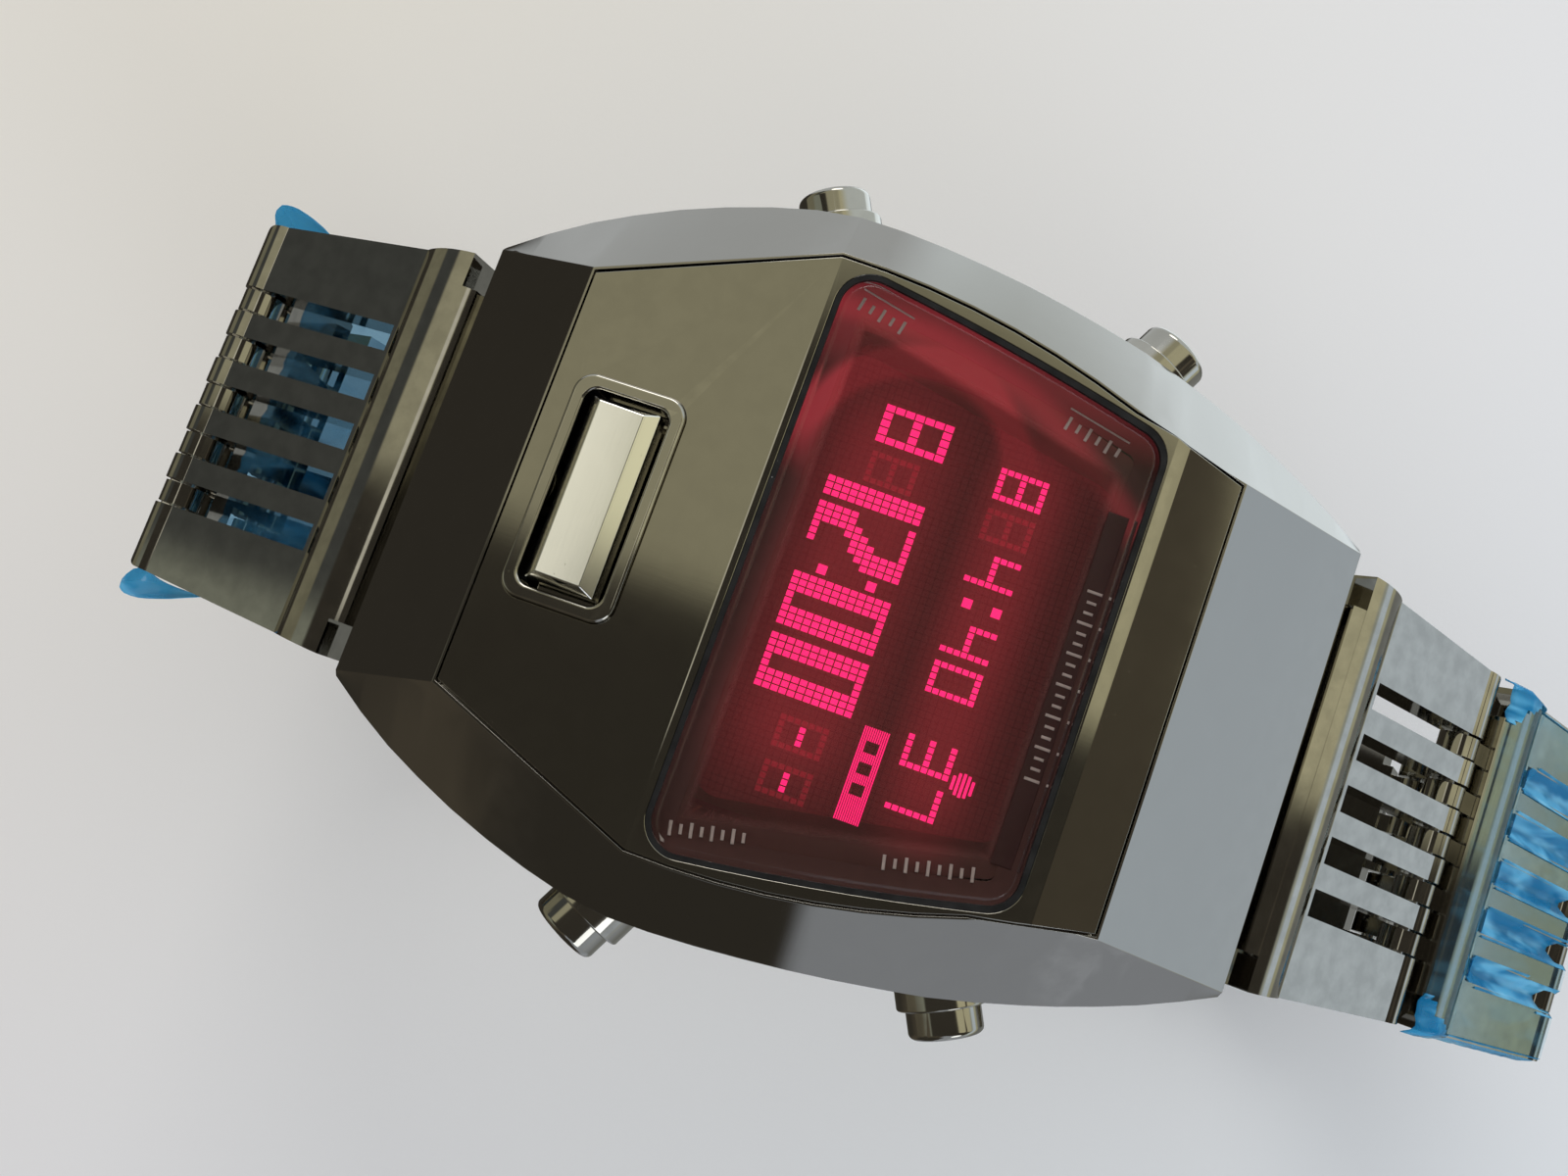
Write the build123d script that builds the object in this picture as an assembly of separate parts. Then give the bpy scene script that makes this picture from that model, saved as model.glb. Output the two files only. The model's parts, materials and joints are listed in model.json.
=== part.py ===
from build123d import *
import math
import os

# A digital wristwatch on a comb-link metal bracelet with a fold-over clasp.
# All lengths are millimetres. The watch stands on its closed clasp with the dial facing up.
# Origin: middle of the crystal, at the height of the surface that the clasp rests on.
# +X points to 3 o'clock, +Y to 12 o'clock, +Z out of the dial.
# The case, its contents and the buttons are drawn in the dial frame, whose z is 0 on the
# crystal's top face, and are lifted into place when they are written out.

# General fits
overrun = 1.0
press_gap = 0.01
close_gap = 0.05
seat_gap = 0.1
loose_gap = 0.3

# How boxes are set on their places
hung = (Align.CENTER, Align.CENTER, Align.MAX)
standing = (Align.CENTER, Align.CENTER, Align.MIN)
ahead = (Align.CENTER, Align.MIN, Align.MIN)
behind = (Align.CENTER, Align.MAX, Align.MIN)

# Case outline, from the 6 o'clock end to the 12 o'clock end
end_y = 25.4
plate_edge_y = 18.7
ridge_y = 6.7
rim_end_y = 12.35
bevel_end_y = 13.1
facet_end_y = 16.7
end_half = 12.6
plate_edge_half = 11.4
ridge_half = 16.0
rim_end_half = 12.5
bevel_end_half = 12.45
facet_end_half = 12.15
edge_bow = 1.03
widest_half = 19.5
rim_drop = 0.15
bevel_drop = 0.6
facet_drop = 2.0
plate_edge_drop = 1.8
end_drop = 9.0
flare_drop = 3.65
end_flare_drop = 9.5
case_thickness = 12.0
skirt_inset = 0.5
skirt_chamfer = 1.9
base_inset = 2.8
end_base_inset = 0.7
end_chamfer = 0.8
section_step = 2.4

# Flare outline: places as shares of the half length, widths as shares of the widest half width
flare_place_shares = (-1.0, -0.87, -0.736, -0.6, -0.43, -0.264, 0.08, 0.4, 0.486, 0.66, 0.85, 1.0)
flare_width_shares = (0.662, 0.76, 0.838, 0.903, 0.965, 1.0, 0.972, 0.913, 0.887, 0.826, 0.743, 0.662)

# Front cover
cover_lip = 0.12
cover_thickness = 3.0
crystal_ledge = 0.8

# Crystal and its seal
crystal_low_half = 15.4
crystal_high_half = 12.1
crystal_low_y = -6.0
crystal_high_y = 11.9
crystal_bow = 0.33
crystal_thickness = 1.8
crystal_corner = 1.6
crystal_bevel = 0.35
gasket_width = 0.3
mask_thickness = 0.15
mask_inset = 1.0

# Rectangular button on the front plate
button_y = -14.27
frame_length = 12.1
frame_width = 6.1
frame_wall = 0.75
frame_rise = 0.35
frame_depth = 1.4
frame_corner = 1.1
button_end_gap = 0.35
button_side_gap = 0.45
button_end_bevel = 0.35
button_side_bevel = 0.65
button_rise = 1.1
button_shoulder = 0.35
button_under = 0.9
button_travel = 0.6
button_stem_radius = 0.7
sleeve_radius = 1.9
sleeve_bore = 1.4
sleeve_depth = 4.4
sleeve_floor = 0.6
button_spring_radius = 1.05
button_spring_wire = 0.28
button_length = frame_length - 2 * (frame_wall + button_end_gap)
button_width = frame_width - 2 * (frame_wall + button_side_gap)
button_top_length = button_length - 2 * button_end_bevel
button_top_width = button_width - 2 * button_side_bevel

# Side pushers
pusher_angle = 27.0
pusher_centre_y = 2.1
pusher_drop = 7.6
pusher_cap_radius = 2.0
pusher_cap_round = 0.35
pusher_travel = 0.9
collar_radius = 2.45
collar_stand = 0.6
collar_length = 3.2
collar_floor = 1.0
cap_stand = 1.55
cap_sunk = 1.2
cap_bore_radius = 1.6
cap_end_wall = 1.0
stem_radius = 0.7
stem_tip_inset = 1.44
clip_radius = 1.3
clip_thickness = 0.3
seal_thickness = 0.8
seal_radius = 1.35
pusher_spring_radius = 1.25
pusher_spring_wire = 0.24
spring_turns = 4
wall_steps = 20

# Module cavity
side_wall = 6.3
cavity_low_taper = 4.9
cavity_high_taper = 3.6
cavity_low_y = -16.4
cavity_shoulder_y = -6.5
shoulder_back = 0.82574
cavity_high_y = 14.0
cavity_corner = 1.2
cavity_half = widest_half - side_wall
pusher_spread = cavity_half * math.tan(math.radians(pusher_angle))
cavity_high_shoulder_y = pusher_centre_y + pusher_spread - shoulder_back
cavity_low_half = cavity_half - cavity_low_taper
cavity_high_half = cavity_half - cavity_high_taper

# Module
panel_thickness = 1.8
panel_low_gap = 0.9
panel_high_gap = 0.2
panel_low_half = cavity_half - panel_low_gap
panel_high_half = cavity_high_half - panel_high_gap
panel_low_y = -5.1
panel_high_y = 10.9
board_thickness = 0.8
board_front_y = -10.2
board_inset = 0.8
board_drop = 4.8
frame_inset = 0.5
module_height = 4.6
battery_inset = 3.2
battery_radius = cavity_half - battery_inset
battery_height = 3.2
battery_y = -1.5
battery_rim = 0.35
strap_thickness = 0.25
strap_width = 5.0
buzzer_radius = 4.5
buzzer_thickness = 0.35
buzzer_y = 8.2
chip_length = 5.0
chip_width = 2.6
chip_height = 1.0
chip_y = 10.9
can_radius = 0.75
can_length = 4.6
can_y = 12.25
contact_thickness = 0.2
contact_width = 2.2
contact_height = 4.0

# Case back
back_thickness = 1.0
back_overlap = 1.7
back_low_overlap = 0.3
back_end_y = 20.3
back_mid_y = 8.0
back_corner = 1.6
back_mid_half = cavity_half + back_overlap
back_low_half = cavity_low_half + back_low_overlap
back_boss_radius = 9.5
back_boss_rise = 0.3
back_gasket_width = 0.7
back_gasket_depth = 0.5
back_gasket_offset = 0.4
screw_x = 6.2
screw_y = 18.5
screw_head_radius = 1.2
screw_head_height = 0.6
screw_radius = 0.7
screw_length = 3.2
screw_slot = 0.35
screw_slot_depth = 0.25

# Bracelet ends of the case
bracelet_pin_y = 24.2
bracelet_pin_drop = 10.9
recess_radius = 1.75
tongue_half = 10.1
tongue_side_gap = 0.15
neck_room = 1.25
spring_bar_radius = 0.65
spring_bar_tip = 0.4
spring_bar_reach = 1.2

# Bracelet links
link_halves = (12.2, 10.95, 10.1, 9.5, 9.2, 9.0)
long_pitch = 16.5
short_pitch = 9.0
link_pitches = (long_pitch, long_pitch, long_pitch, short_pitch, short_pitch)
knuckle_radius = 1.3
tooth_radius = 1.2
band_start = 1.6
long_band = 4.6
short_band = 2.9
band_crest = 1.95
band_lip = 1.5
band_foot = 0.95
plate_top = 1.15
link_underside = 1.3
link_corner = 1.2
slot_count = 5
slot_pitch = 3.1
slot_width = 1.6
tooth_width = 1.3
neck_top = 0.8
neck_bottom = 0.9
notch_width = 2.1
notch_depth = 0.8
pin_radius = 0.5
pin_running_gap = 0.06
pin_short = 0.2
end_tongue_back = 2.2
end_rib = 0.7
cover_tongue_half = 7.6
blade_tongue_half = 4.4

# Angles below the horizontal of each link, from the case towards the clasp
high_side_angles = (34.0, 36.0, 110.0, 150.0, 172.0)
low_side_angles = (19.0, 85.0, 128.0, 152.0, 174.0)

# Clasp
cover_plate = 1.0
cover_wall = 1.2
cover_half = 9.0
cover_end_radius = 1.4
cover_pin_radius = 1.15
cover_rise = 3.9
clasp_ground = 3.1
blade_thickness = 1.0
blade_gap = 0.3
fold_knuckle_radius = 1.1
fold_pin_inset = 6.9
near_pin_offset = 5.2
near_pin_lift = 0.6
inner_blade_half = 5.8
outer_blade_half = 7.6
fold_knuckle_half = 2.8
plate_edge_back = 0.6
thumb_notch_radius = 2.6

# Protective film
film_thickness = 0.1
film_gap = 0.05
film_overhang = 0.35
film_end_reach = 1.0
slot_film_start = 6.6
slot_film_end = 14.9
ear_gap = 0.35
ear_width = 1.5
ear_start = 13.6
ear_shoulder = 14.4
ear_end = 17.7


def smooth_value(place, places, values):
    """Reads a smooth curve through the table at one place."""
    last = len(places) - 2
    i = min(max(sum(p <= place for p in places) - 1, 0), last)
    span = places[i + 1] - places[i]
    t = (place - places[i]) / span
    before, after = max(i - 1, 0), min(i + 2, last + 1)
    rise_in = (values[i + 1] - values[before]) / (places[i + 1] - places[before]) * span
    rise_out = (values[after] - values[i]) / (places[after] - places[i]) * span
    square, cube = t * t, t * t * t
    return (
        (2 * cube - 3 * square + 1) * values[i]
        + (cube - 2 * square + t) * rise_in
        + (3 * square - 2 * cube) * values[i + 1]
        + (cube - square) * rise_out
    )


def straight_value(place, places, values):
    """Reads a line of straight stretches at one place."""
    for p, q, v, w in zip(places, places[1:], values, values[1:]):
        if place <= q:
            return v + (w - v) * (place - p) / (q - p)
    return values[-1]


# Outline of the case's top: edges across the case, from 6 o'clock to 12 o'clock
edge_places = (-end_y, -plate_edge_y, -ridge_y, rim_end_y, bevel_end_y, facet_end_y, end_y)
edge_halves = (end_half, plate_edge_half, ridge_half, rim_end_half, bevel_end_half, facet_end_half, end_half)
edge_drops = (end_drop, plate_edge_drop, rim_drop, rim_drop, bevel_drop, facet_drop, end_drop)


def flare_half(y):
    """Half width of the case at its widest edge."""
    return widest_half * smooth_value(y / end_y, flare_place_shares, flare_width_shares)


def flare_low(y):
    """Depth of the widest edge, which droops towards both ends."""
    return flare_drop + (end_flare_drop - flare_drop) * (y / end_y) ** 2


def edge_half(y):
    """Half width of the case's top edge, which bows out beside the crystal."""
    share = min(max((y + ridge_y) / (rim_end_y + ridge_y), 0), 1)
    return straight_value(y, edge_places, edge_halves) + 4 * edge_bow * share * (1 - share)


def section_places():
    """Places of the case's cross-sections: its edges, and even steps between them."""
    places = [edge_places[0]]
    for start, stop in zip(edge_places, edge_places[1:]):
        steps = math.ceil((stop - start) / section_step)
        places += [start + (stop - start) * (k + 1) / steps for k in range(steps)]
    return places


def case_section(y):
    """Cross-section of the case at one place along its length."""
    top = edge_half(y)
    drop = straight_value(y, edge_places, edge_drops)
    wide = flare_half(y)
    low = flare_low(y)
    ending = (abs(y) / end_y) ** 4
    inset = base_inset + (end_base_inset - base_inset) * ending
    chamfer = skirt_chamfer + (end_chamfer - skirt_chamfer) * ending
    half = [
        (top, -drop),
        (wide, -low),
        (wide - skirt_inset, -(case_thickness - chamfer)),
        (wide - inset, -case_thickness),
    ]
    mirrored = [(-x, z) for x, z in reversed(half)]
    points = [Vector(x, y, z) for x, z in half + mirrored]
    return make_face(Polyline(*points, close=True))


def plan(points, corner):
    """A symmetric outline from its right-hand points, with rounded corners."""
    mirrored = [(-x, y) for x, y in reversed(points)]
    face = make_face(Polyline(*points, *mirrored, close=True))
    return fillet(face.vertices(), corner) if corner else face


def slab(face, low, high):
    """A plate between two depths."""
    return Pos(0, 0, low) * extrude(face, high - low)


def top_form():
    """Everything under the case's faceted top, wide enough to trim any plan to it."""
    points = [(y, -drop) for y, drop in zip(edge_places, edge_drops)]
    base = [(end_y, -case_thickness), (-end_y, -case_thickness)]
    face = make_face(Plane.YZ * Polyline(*points, *base, close=True))
    return extrude(face, widest_half + overrun, both=True)


def cover_plan(gap):
    """Outline of the front cover, set in from the case's top edge."""
    inset = cover_lip + gap
    points = [
        (plate_edge_half - inset, -plate_edge_y + inset),
        *((edge_half(y) - inset, y) for y in section_places() if -ridge_y <= y <= rim_end_y),
        (facet_end_half - inset, facet_end_y - inset),
    ]
    return plan(points, 0)


def crystal_plan(grow):
    """Outline of the crystal with its slightly bowed sides, grown or shrunk."""
    low = Vector(crystal_low_half + grow, crystal_low_y - grow)
    high = Vector(crystal_high_half + grow, crystal_high_y + grow)
    side = ThreePointArc(low, (low + high) / 2 + Vector(crystal_bow, 0), high)
    other = side.mirror(Plane.YZ)
    ends = [Line(side @ 0, other @ 0), Line(side @ 1, other @ 1)]
    return fillet(make_face([side, other, *ends]).vertices(), crystal_corner + grow)


def cavity_plan(inset):
    """Outline of the room for the module."""
    points = [
        (cavity_low_half - inset, cavity_low_y + inset),
        (cavity_half - inset, cavity_shoulder_y),
        (cavity_half - inset, cavity_high_shoulder_y),
        (cavity_high_half - inset, cavity_high_y - inset),
    ]
    return plan(points, cavity_corner)


def back_plan(inset):
    """Outline of the case back."""
    points = [
        (back_low_half - inset, -back_end_y + inset),
        (back_mid_half - inset, -back_mid_y),
        (back_mid_half - inset, back_mid_y),
        (back_low_half - inset, back_end_y - inset),
    ]
    return plan(points, back_corner)


def rod(radius, start, end):
    """A round bar along +Z between two heights."""
    return Pos(0, 0, start) * extrude(Circle(radius), end - start)


def tube(outer, inner, start, end):
    """A round sleeve along +Z between two heights."""
    return rod(outer, start, end) - rod(inner, start - overrun, end + overrun)


def cross_rod(radius, half):
    """A round bar along X."""
    return Rot(0, 90, 0) * rod(radius, -half, half)


def coil(radius, wire, length):
    """A compression spring that stands on z = 0, drawn pressed."""
    pitch = (length - 2 * wire) / spring_turns
    path = Pos(0, 0, wire) * Helix(pitch, length - 2 * wire, radius)
    section = Plane(path @ 0, z_dir=path % 0) * Circle(wire / 2)
    return sweep(section, path=path, is_frenet=True)


# Planes of the rectangular button and of the four pushers
plate_slope = math.degrees(math.atan2(plate_edge_drop - rim_drop, plate_edge_y - ridge_y))
button_drop = straight_value(button_y, edge_places, edge_drops)
button_place = Pos(0, button_y, -button_drop) * Rot(plate_slope, 0, 0)


def wall_distance(low_side):
    """Distance from the pushers' meeting point to the case wall along a pusher's axis."""
    slope = math.sin(math.radians(pusher_angle)) * (-1 if low_side else 1)
    reach = widest_half
    for _ in range(wall_steps):
        reach = flare_half(pusher_centre_y + reach * slope) / math.cos(math.radians(pusher_angle))
    return reach


pusher_names = ("9_upper", "3_upper", "9_lower", "3_lower")
stem_tip_place = (cavity_half - stem_tip_inset) / math.cos(math.radians(pusher_angle))
contact_place = stem_tip_place - pusher_travel - seat_gap


def pusher_frame(name):
    """Place of a pusher: local +Z points outwards along its axis."""
    side, level = name.split("_")
    angle = pusher_angle if level == "upper" else -pusher_angle
    heading = angle if side == "3" else 180 - angle
    return Pos(0, pusher_centre_y, -pusher_drop) * Rot(0, 0, heading) * Rot(0, 90, 0)


def pusher_wall(name):
    """Distance of the case wall along this pusher's axis."""
    return wall_distance(name.endswith("lower"))


def pusher_cut(name):
    """Stepped hole through the case wall for one pusher."""
    wall = pusher_wall(name)
    collar_in = wall + collar_stand - collar_length
    hole = rod(collar_radius + press_gap, collar_in, wall + 2 * collar_length)
    hole += rod(seal_radius + press_gap, collar_in - seal_thickness, collar_in + overrun)
    hole += rod(stem_radius + seat_gap, stem_tip_place - overrun, collar_in)
    return pusher_frame(name) * hole


def mid_case():
    """The case body, with the room for the cover, module, back and bracelet."""
    body = loft([case_section(y) for y in section_places()], ruled=True)
    body -= slab(cover_plan(0), -cover_thickness, 0)
    body -= slab(cavity_plan(0), -case_thickness, -cover_thickness + close_gap)
    body -= slab(back_plan(0), -case_thickness - overrun, -case_thickness + back_thickness)
    groove = slab(cavity_plan(-back_gasket_offset - back_gasket_width), 0, back_gasket_depth)
    groove -= slab(cavity_plan(-back_gasket_offset), -overrun, back_gasket_depth + overrun)
    body -= Pos(0, 0, -case_thickness + back_thickness) * groove
    for x in (-screw_x, screw_x):
        for y in (-screw_y, screw_y):
            top = -case_thickness + back_thickness + screw_length
            body -= Pos(x, y, 0) * rod(screw_radius + press_gap, -case_thickness, top)
    for name in pusher_names:
        body -= pusher_cut(name)
    for side in (-1, 1):
        body -= bracelet_recess(side)
    return body


def bracelet_recess(side):
    """Room at one end of the case for the first link's tongue and its spring bar."""
    half = tongue_half + tongue_side_gap
    width = 2 * half
    back = bracelet_pin_y - recess_radius
    depth = case_thickness
    mouth = end_y + overrun
    recess = cross_rod(recess_radius, half)
    low = Box(width, mouth - back, depth, align=(Align.CENTER, Align.MIN, Align.MAX))
    recess += Pos(0, back - bracelet_pin_y, 0) * low
    neck = Box(width, mouth - bracelet_pin_y, neck_room, align=ahead)
    recess += neck
    recess += cross_rod(spring_bar_tip + press_gap, half + spring_bar_reach + seat_gap)
    turned = recess if side > 0 else Rot(0, 0, 180) * recess
    return Pos(0, side * bracelet_pin_y, -bracelet_pin_drop) * turned


def front_cover():
    """The faceted cover with the crystal's seat and the rectangular button's pocket."""
    cover = slab(cover_plan(seat_gap), -cover_thickness, 0) & top_form()
    seat = crystal_plan(gasket_width)
    cover -= slab(seat, -crystal_thickness, overrun)
    cover -= slab(crystal_plan(-crystal_ledge), -cover_thickness - overrun, overrun)
    outer = Rectangle(frame_length + press_gap, frame_width + press_gap)
    pocket = slab(fillet(outer.vertices(), frame_corner), -frame_depth, overrun)
    room = Rectangle(frame_length - 2 * frame_wall, frame_width - 2 * frame_wall)
    pocket += slab(room, -button_under - button_travel - seat_gap, overrun)
    cover -= button_place * pocket
    sleeve = rod(sleeve_radius, -sleeve_depth - sleeve_floor, -button_under - button_travel - seat_gap)
    cover += button_place * sleeve
    bore = rod(sleeve_bore, -sleeve_depth, overrun)
    bore += rod(button_stem_radius + close_gap, -sleeve_depth - sleeve_floor - overrun, 0)
    return cover - button_place * bore


def crystal():
    """The window, with a bevel round its upper edge."""
    glass = slab(crystal_plan(0), -crystal_thickness, 0)
    return chamfer(glass.faces().sort_by(Axis.Z)[-1].edges(), crystal_bevel)


def crystal_gasket():
    """The ring that holds the crystal in the cover."""
    ring = slab(crystal_plan(gasket_width - press_gap), -crystal_thickness, -rim_drop)
    return ring - slab(crystal_plan(press_gap), -crystal_thickness - overrun, overrun)


def display_mask():
    """The printed window sheet under the crystal."""
    top = -crystal_thickness
    return slab(crystal_plan(-mask_inset), top - mask_thickness, top)


def button_frame():
    """The raised rounded frame round the rectangular button."""
    outer = Rectangle(frame_length, frame_width)
    inner = Rectangle(frame_length - 2 * frame_wall, frame_width - 2 * frame_wall)
    ring = slab(fillet(outer.vertices(), frame_corner), -frame_depth, frame_rise)
    ring -= slab(fillet(inner.vertices(), frame_corner - frame_wall / 2), -frame_depth - overrun, overrun)
    top = ring.faces().sort_by(Axis.Z)[-1]
    return button_place * fillet(top.edges(), frame_rise / 2)


def front_button():
    """The rectangular button with bevelled sides and a level top, on its plunger."""
    base = slab(Rectangle(button_length, button_width), -button_under, button_shoulder)
    foot = Pos(0, 0, button_shoulder) * Rectangle(button_length, button_width)
    level = Rot(-plate_slope, 0, 0)
    face = Pos(0, 0, button_rise) * level * Rectangle(button_top_length, button_top_width)
    stem_end = -sleeve_depth - sleeve_floor - clip_thickness - loose_gap
    stem = rod(button_stem_radius, stem_end, 0)
    return button_place * (base + loft([foot, face]) + stem)


def front_button_clip():
    """The retaining ring on the rectangular button's plunger."""
    top = -sleeve_depth - sleeve_floor - close_gap
    return button_place * tube(sleeve_bore, button_stem_radius, top - clip_thickness, top)


def front_button_spring():
    """The rectangular button's return spring, on the floor of its sleeve."""
    length = sleeve_depth - button_under - button_travel - close_gap
    spring = coil(button_spring_radius, button_spring_wire, length)
    return button_place * Pos(0, 0, -sleeve_depth) * spring


def pusher(name):
    """One side pusher: hollow cap and stem."""
    wall = pusher_wall(name)
    outer_end = wall + collar_stand + cap_stand
    inner_end = wall + collar_stand - cap_sunk
    cap = rod(pusher_cap_radius, inner_end, outer_end)
    cap = fillet(cap.faces().sort_by(Axis.Z)[-1].edges(), pusher_cap_round)
    cap -= rod(cap_bore_radius, inner_end - overrun, outer_end - cap_end_wall)
    cap += rod(stem_radius, stem_tip_place, outer_end - cap_end_wall / 2)
    return pusher_frame(name) * cap


def pusher_clip(name):
    """The retaining ring inside the case on one pusher's stem."""
    start = stem_tip_place + clip_thickness
    ring = tube(clip_radius, stem_radius, start, start + clip_thickness)
    return pusher_frame(name) * ring


def pusher_collar(name):
    """The sleeve pressed into the case that guides one pusher."""
    wall = pusher_wall(name)
    outer_end = wall + collar_stand
    inner_end = outer_end - collar_length
    collar = rod(collar_radius, inner_end, outer_end)
    collar -= rod(pusher_cap_radius + close_gap, inner_end + collar_floor, outer_end + overrun)
    collar -= rod(stem_radius + close_gap, inner_end - overrun, outer_end)
    return pusher_frame(name) * collar


def pusher_seal(name):
    """The sealing ring behind one pusher's collar."""
    inner_end = pusher_wall(name) + collar_stand - collar_length
    ring = tube(seal_radius, stem_radius + close_gap, inner_end - seal_thickness, inner_end)
    return pusher_frame(name) * ring


def pusher_spring(name):
    """One pusher's return spring, standing on the floor of its collar."""
    floor = pusher_wall(name) + collar_stand - collar_length + collar_floor
    room = collar_length - collar_floor + cap_stand - cap_end_wall - pusher_travel - close_gap
    return pusher_frame(name) * Pos(0, 0, floor) * coil(pusher_spring_radius, pusher_spring_wire, room)


def display_panel():
    """The light matrix behind the window."""
    points = [(panel_low_half, panel_low_y), (panel_high_half, panel_high_y)]
    top = -cover_thickness
    return slab(plan(points, crystal_corner), top - panel_thickness, top)


def board_plan(inset):
    """Outline of the circuit board, cut short in front for the rectangular button."""
    front = board_front_y - cavity_low_y
    keep = Pos(0, board_front_y, 0) * Rectangle(
        2 * cavity_half, cavity_high_y - cavity_low_y, align=(Align.CENTER, Align.MIN)
    )
    return cavity_plan(inset) & keep if front > 0 else cavity_plan(inset)


def circuit_board():
    """The board that joins the light matrix, chips, contacts and battery."""
    return slab(board_plan(board_inset), -board_drop - board_thickness, -board_drop)


def driver_chips():
    """The chips under the board, at the 12 o'clock end."""
    top = -board_drop - board_thickness
    spread = chip_length / 2 + loose_gap
    chip = Box(chip_length, chip_width, chip_height, align=hung)
    return Compound(children=[Pos(x, chip_y, top) * chip for x in (-spread, spread)])


def timing_crystal():
    """The quartz can beside the chips."""
    top = -board_drop - board_thickness
    return Pos(0, can_y + can_radius, top - can_radius) * cross_rod(can_radius, can_length / 2)


def module_frame():
    """The moulded frame that holds the battery and is held by the case back."""
    top = -board_drop - board_thickness
    frame = slab(cavity_plan(frame_inset), top - module_height, top)
    well = rod(battery_radius + seat_gap, top - module_height - overrun, top - chip_height - loose_gap)
    well += rod(battery_radius - 2 * battery_rim, top - module_height, top + overrun)
    frame -= Pos(0, battery_y, 0) * well
    room_y = chip_width + 2 * can_radius + 2 * loose_gap
    room = Box(2 * chip_length + 4 * loose_gap, room_y, 2 * (2 * can_radius + loose_gap))
    frame -= Pos(0, chip_y + (room_y - chip_width) / 2 - loose_gap, top) * room
    frame -= button_place * rod(sleeve_radius + loose_gap, -2 * sleeve_depth, 0)
    leaf_room = Box(2 * contact_height, contact_width + 2 * seat_gap, contact_thickness + 2 * seat_gap)
    for name in pusher_names:
        hole = rod(clip_radius + loose_gap, stem_tip_place - 2 * pusher_travel, widest_half)
        hole += Pos(0, 0, contact_place - contact_thickness / 2) * leaf_room
        frame -= pusher_frame(name) * hole
    strap = Box(2 * cavity_half, strap_width + 2 * loose_gap, 2 * strap_thickness)
    return frame - Pos(0, battery_y, top - module_height) * strap


def battery():
    """The coin battery, with the step of its smaller cap."""
    low = -board_drop - board_thickness - module_height + strap_thickness
    cell = rod(battery_radius, low, low + battery_height - battery_rim)
    cell += rod(battery_radius - 2 * battery_rim, low, low + battery_height)
    return Pos(0, battery_y, 0) * cell


def battery_strap():
    """The spring strap across the battery."""
    low = -board_drop - board_thickness - module_height
    length = 2 * (cavity_half - frame_inset - seat_gap)
    strap = Box(length, strap_width, strap_thickness, align=standing)
    return Pos(0, battery_y, low) * strap


def buzzer():
    """The sounding disc fixed inside the case back."""
    low = -case_thickness + back_thickness
    return Pos(0, buzzer_y, 0) * rod(buzzer_radius, low, low + buzzer_thickness)


def contact_springs():
    """The upright leaves that the four pushers press."""
    top = -board_drop - board_thickness
    blade = Box(contact_height, contact_width, contact_thickness, align=hung)
    trim = slab(cavity_plan(frame_inset), top - module_height, top)
    leaves = [pusher_frame(name) * Pos(0, 0, contact_place) * blade for name in pusher_names]
    return Compound(children=[leaf & trim for leaf in leaves])


def case_back():
    """The screwed back with a raised round boss."""
    back = slab(back_plan(close_gap), -case_thickness, -case_thickness + back_thickness)
    back += rod(back_boss_radius, -case_thickness - back_boss_rise, -case_thickness + back_thickness / 2)
    hole = rod(screw_head_radius + close_gap, -overrun, screw_head_height)
    hole += rod(screw_radius + close_gap, 0, 2 * back_thickness)
    for x in (-screw_x, screw_x):
        for y in (-screw_y, screw_y):
            back -= Pos(x, y, -case_thickness) * hole
    return back


def case_back_gasket():
    """The sealing ring under the case back."""
    low = -case_thickness + back_thickness
    ring = slab(cavity_plan(close_gap - back_gasket_offset - back_gasket_width), low, low + back_gasket_depth)
    return ring - slab(cavity_plan(-back_gasket_offset - close_gap), low - overrun, low + overrun)


def case_back_screws():
    """The four slotted screws of the case back."""
    screws = []
    for x in (-screw_x, screw_x):
        for y in (-screw_y, screw_y):
            head = rod(screw_head_radius, -case_thickness, -case_thickness + screw_head_height)
            slot = Box(2 * screw_head_radius, screw_slot, 2 * screw_slot_depth)
            shank = rod(screw_radius, -case_thickness + screw_slot_depth, -case_thickness + screw_length)
            screws.append(Pos(x, y, 0) * (head - Pos(0, 0, -case_thickness) * slot + shank))
    return Compound(children=screws)


def spring_bars():
    """The two spring bars that hold the bracelet to the case."""
    bars = []
    for side in (-1, 1):
        half = tongue_half + tongue_side_gap - close_gap
        bar = cross_rod(spring_bar_radius, half) + cross_rod(spring_bar_tip, half + spring_bar_reach)
        bars.append(Pos(0, side * bracelet_pin_y, -bracelet_pin_drop) * bar)
    return Compound(children=bars)


def side_form(points_and_arc):
    """A side outline of a link, extruded to the bracelet's full width."""
    return extrude(make_face(points_and_arc), 2 * link_halves[0], both=True)


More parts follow.
